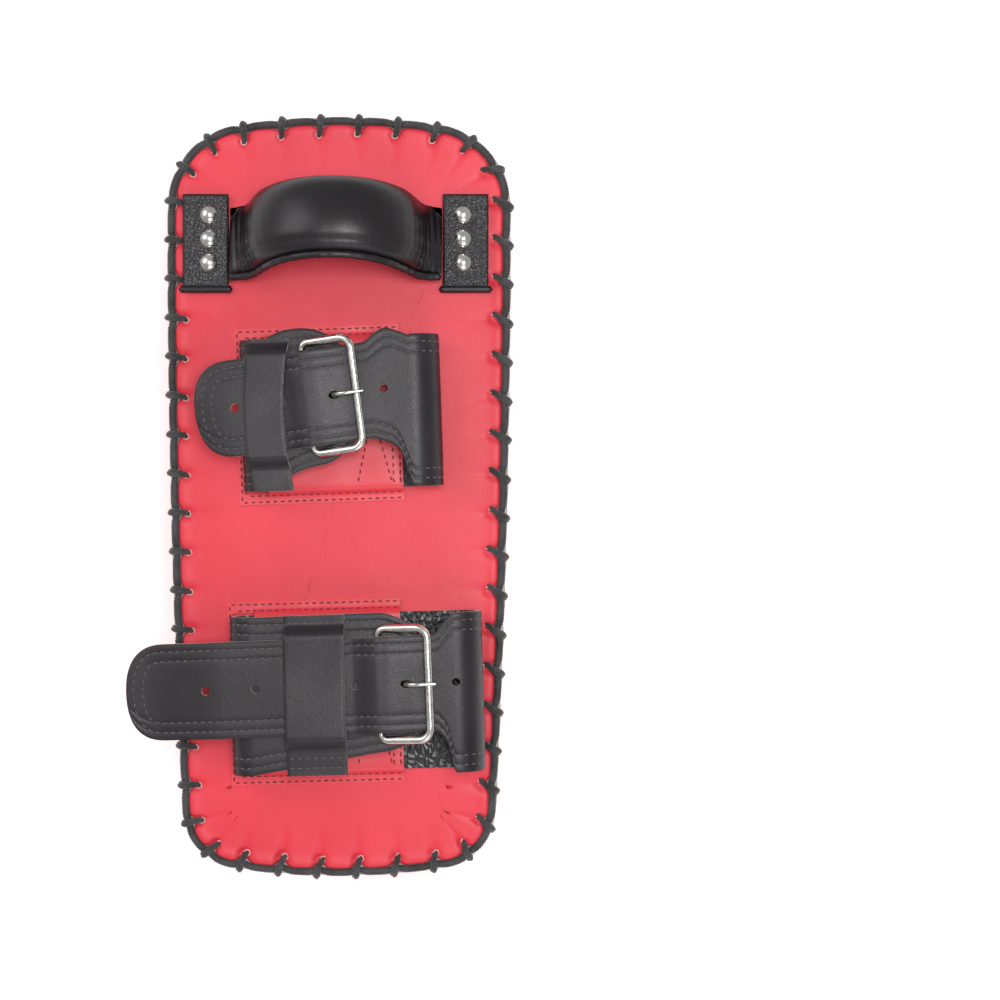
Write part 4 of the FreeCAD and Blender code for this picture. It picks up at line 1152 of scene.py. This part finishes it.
def make_handle():
    """The padded arch with its creased necks and seam, the piping below it and the two end patches."""
    count, sides = 130, 56
    line = arch_line(SPAN, count)
    tangent = unit(np.gradient(line, axis=0))
    normal = np.column_stack([-tangent[:, 1], tangent[:, 0]])
    share = np.linspace(0, 1, count)
    swell = np.minimum(1.0, 1.35 * np.sin(np.pi * np.clip(share, 0.001, 0.999)) ** 0.7)
    thick = 1.3 + (9.9 - 1.3) * swell
    width = 20.6 - 2.6 * (1.0 - swell)
    ring = np.linspace(0, 2 * np.pi, sides, endpoint=False)
    rows = []
    for i in range(count):
        c, s = np.cos(ring), np.sin(ring)
        y = width[i] * np.sign(c) * np.abs(c) ** 0.86
        t = thick[i] * np.sign(s) * np.abs(s) ** 0.92
        foot = math.exp(-min(share[i], 1 - share[i]) / 0.10)
        crease = 0.5 * foot * np.sin(share[i] * 165.0 + y * 0.10) * (s > -0.2)
        seam = -0.9 * bump(y, -width[i] + 4.6, 1.0) * (s > 0) * min(1.0, swell[i] * 1.3)
        t = t + crease * min(1.0, thick[i] / 4.0) + seam
        x = line[i, 0] + normal[i, 0] * t
        z = line[i, 1] + normal[i, 1] * t
        place = handle_place(x, y, z)
        place[:, 2] = np.maximum(place[:, 2], PANEL_TOP + 0.15)
        rows.append(place)
    work = Builder()
    ends = [handle_place(line[k, 0], 0.0, line[k, 1]) for k in (0, -1)]
    work.shell(rows, *ends)
    sew = np.array([handle_place(line[i, 0] + normal[i, 0] * (thick[i] * 0.62), -width[i] * 0.985 + 4.9,
                                 line[i, 1] + normal[i, 1] * (thick[i] * 0.62)) for i in range(count)])
    up = np.array([[normal[i, 0] * 0.7, -0.7, normal[i, 1] * 0.7] for i in range(count)])
    stitch_row(work, sew[14:-14], up[14:-14], 1, pitch=3.6, length=2.4, radius=0.34)
    sleeve = work.make("handle_sleeve_leather", [HANDLE_BLACK, BLACK_THREAD])
    finish(sleeve, "root", "black_leather", "handle_sleeve", "handle_core")
    piping = Builder()
    line = arch_line(SPAN - 1.0, 140)
    thin = 1 - np.interp(np.linspace(0, 1, len(line)), share, swell)
    points = handle_place(line[:, 0], -22.3 + 2.0 * thin, line[:, 1] + 1.2)
    points[:, 2] = np.maximum(points[:, 2], PANEL_TOP + 2.2)
    piping.tube(points, 2.0 + 0.10 * np.sin(np.arange(len(line)) * 0.9), sides=14)
    finish(piping.make("handle_piping_leather", [HANDLE_BLACK]), "root", "black_leather", "handle_piping")
    for side, sign in (("left", -1), ("right", 1)):
        make_tab(side, sign)


def make_tab(side, sign):
    """An embossed end patch with a rolled lower edge and double stitching round its rim."""
    x_in = HANDLE_X + sign * (SPAN + 0.6)
    x_out = HANDLE_X + sign * (SPAN + 24.6)
    x0, x1 = sorted((x_in, x_out))
    y0, y1 = HANDLE_Y - 24.5, HANDLE_Y + 24.5
    low, top = 92.0, 94.45
    work = Builder()
    xs = np.concatenate([[x0, x0 + 0.4, x0 + 1.0], np.linspace(x0 + 2, x1 - 2, 18), [x1 - 1.0, x1 - 0.4, x1]])
    ys = np.concatenate([[y0, y0 + 0.4, y0 + 1.0], np.linspace(y0 + 2, y1 - 2, 40), [y1 - 1.0, y1 - 0.4, y1]])
    gx, gy = np.meshgrid(xs, ys, indexing="ij")
    inward = np.minimum(np.minimum(gx - x0, x1 - gx), np.minimum(gy - y0, y1 - gy))
    z = top - 0.7 * bump(inward, 0.0, 0.6) - 0.22 * bump(inward, 2.6, 0.7) - 0.2 * bump(inward, 5.2, 0.7)
    upper = np.stack([gx, gy, z], axis=-1)
    under = np.stack([gx, gy, np.full(gx.shape, low)], axis=-1)
    work.plate(upper, under)
    foot = np.stack([gx, np.clip(gy, y0 + 2, y1 - 2), np.full(gx.shape, 90.1)], axis=-1)
    work.plate(foot + np.array([0, 0, 1.85]), foot)
    for inset in (2.4, 5.2):
        for a, b in (((x0 + inset, y0 + inset), (x0 + inset, y1 - inset)),
                     ((x1 - inset, y0 + inset), (x1 - inset, y1 - inset)),
                     ((x0 + inset, y0 + inset), (x1 - inset, y0 + inset)),
                     ((x0 + inset, y1 - inset), (x1 - inset, y1 - inset))):
            if inset > 5 and a[0] != b[0]:
                continue
            line = np.linspace([*a, top - 0.1], [*b, top - 0.1], 30)
            stitch_row(work, line, straight_up(len(line)), 1, pitch=3.0, length=2.1, radius=0.32)
    roll = np.linspace([x0 - 1.0, y0 - 1.1, 92.6], [x1 + 1.0, y0 - 1.1, 92.6], 24)
    work.tube(roll, 1.9, sides=14, mat=2)
    piece = work.make("handle_tab_%s_leather" % side, [PEBBLED, BLACK_THREAD, HANDLE_BLACK], sharp=TAB_CREASE)
    finish(piece, "root", "embossed_leather", "handle_tab_" + side)


# ---- CAD nodes that stay ----

def paint(node, material):
    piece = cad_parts[node]
    piece.data.materials.clear()
    piece.data.materials.append(material)


# ---- stage, light and camera ----

FLOOR_REACH = 6.0
FLOOR_Z = -0.0005
WORLD_LIGHT = 0.42
# name, place in metres, width in metres and power in watts of each lamp
LAMPS = (("flash", (0.30, 0.10, 1.75), 0.55, 13.0), ("fill_left", (-1.3, 0.7, 1.5), 1.2, 11.0),
         ("fill_far", (0.4, -1.5, 1.4), 1.2, 7.0))
LAMP_AIM = Vector((0.0, 0.0, 0.09))
CAMERA_PLACE = (85.2, -1.85, PANEL_TOP + 1200.0)
LENS = 81.66
SENSOR = 36.0


def make_stage():
    """A pale floor, an even pale world and three soft lamps."""
    floor_material = new_material("floor", (0.96, 0.96, 0.96), 0.9, Emission_Strength=0.35,
                                  Emission_Color=(1.0, 1.0, 1.0, 1.0))[0]
    mesh = bpy.data.meshes.new("floor")
    corners = [(-1, -1), (1, -1), (1, 1), (-1, 1)]
    mesh.from_pydata([(x * FLOOR_REACH, y * FLOOR_REACH, FLOOR_Z) for x, y in corners], [], [(0, 1, 2, 3)])
    mesh.materials.append(floor_material)
    floor = bpy.data.objects.new("floor", mesh)
    bpy.context.scene.collection.objects.link(floor)
    world = bpy.data.worlds.new("studio")
    world.use_nodes = True
    world.node_tree.nodes["Background"].inputs["Color"].default_value = (1.0, 0.99, 0.98, 1.0)
    world.node_tree.nodes["Background"].inputs["Strength"].default_value = WORLD_LIGHT
    bpy.context.scene.world = world
    for name, place, size, power in LAMPS:
        data = bpy.data.lights.new(name, "AREA")
        data.shape = "SQUARE"
        data.size = size
        data.energy = power
        lamp = bpy.data.objects.new(name, data)
        lamp.location = place
        aim = LAMP_AIM - Vector(place)
        lamp.rotation_euler = aim.to_track_quat("-Z", "Y").to_euler()
        bpy.context.scene.collection.objects.link(lamp)


def make_camera():
    """Straight above the middle of a pair of pads, of which this is the left one."""
    data = bpy.data.cameras.new("camera")
    data.lens = LENS
    data.sensor_width = SENSOR
    camera = bpy.data.objects.new("camera", data)
    camera.location = [c * MM for c in CAMERA_PLACE]
    camera.rotation_euler = (0.0, 0.0, 0.0)
    bpy.context.scene.collection.objects.link(camera)
    bpy.context.scene.camera = camera
    bpy.context.scene.view_settings.view_transform = "Standard"


make_camera()
make_stage()
make_back_cover()
make_front_cover()
make_edge_trims()
make_lacing()
make_handle()
for strap_name, strap_sizes in STRAPS.items():
    make_red_patch(strap_name, strap_sizes)
    make_buckle_strap(strap_name, strap_sizes)
    make_tip_strap(strap_name, strap_sizes)
    make_strap_tip(strap_name, strap_sizes)
    make_keeper(strap_name, strap_sizes)
    make_buckle(strap_name, strap_sizes)
for rivet_node in ("handle_rivets_left", "handle_rivets_right", "rivet_washers_left", "rivet_washers_right"):
    paint(rivet_node, NICKEL)
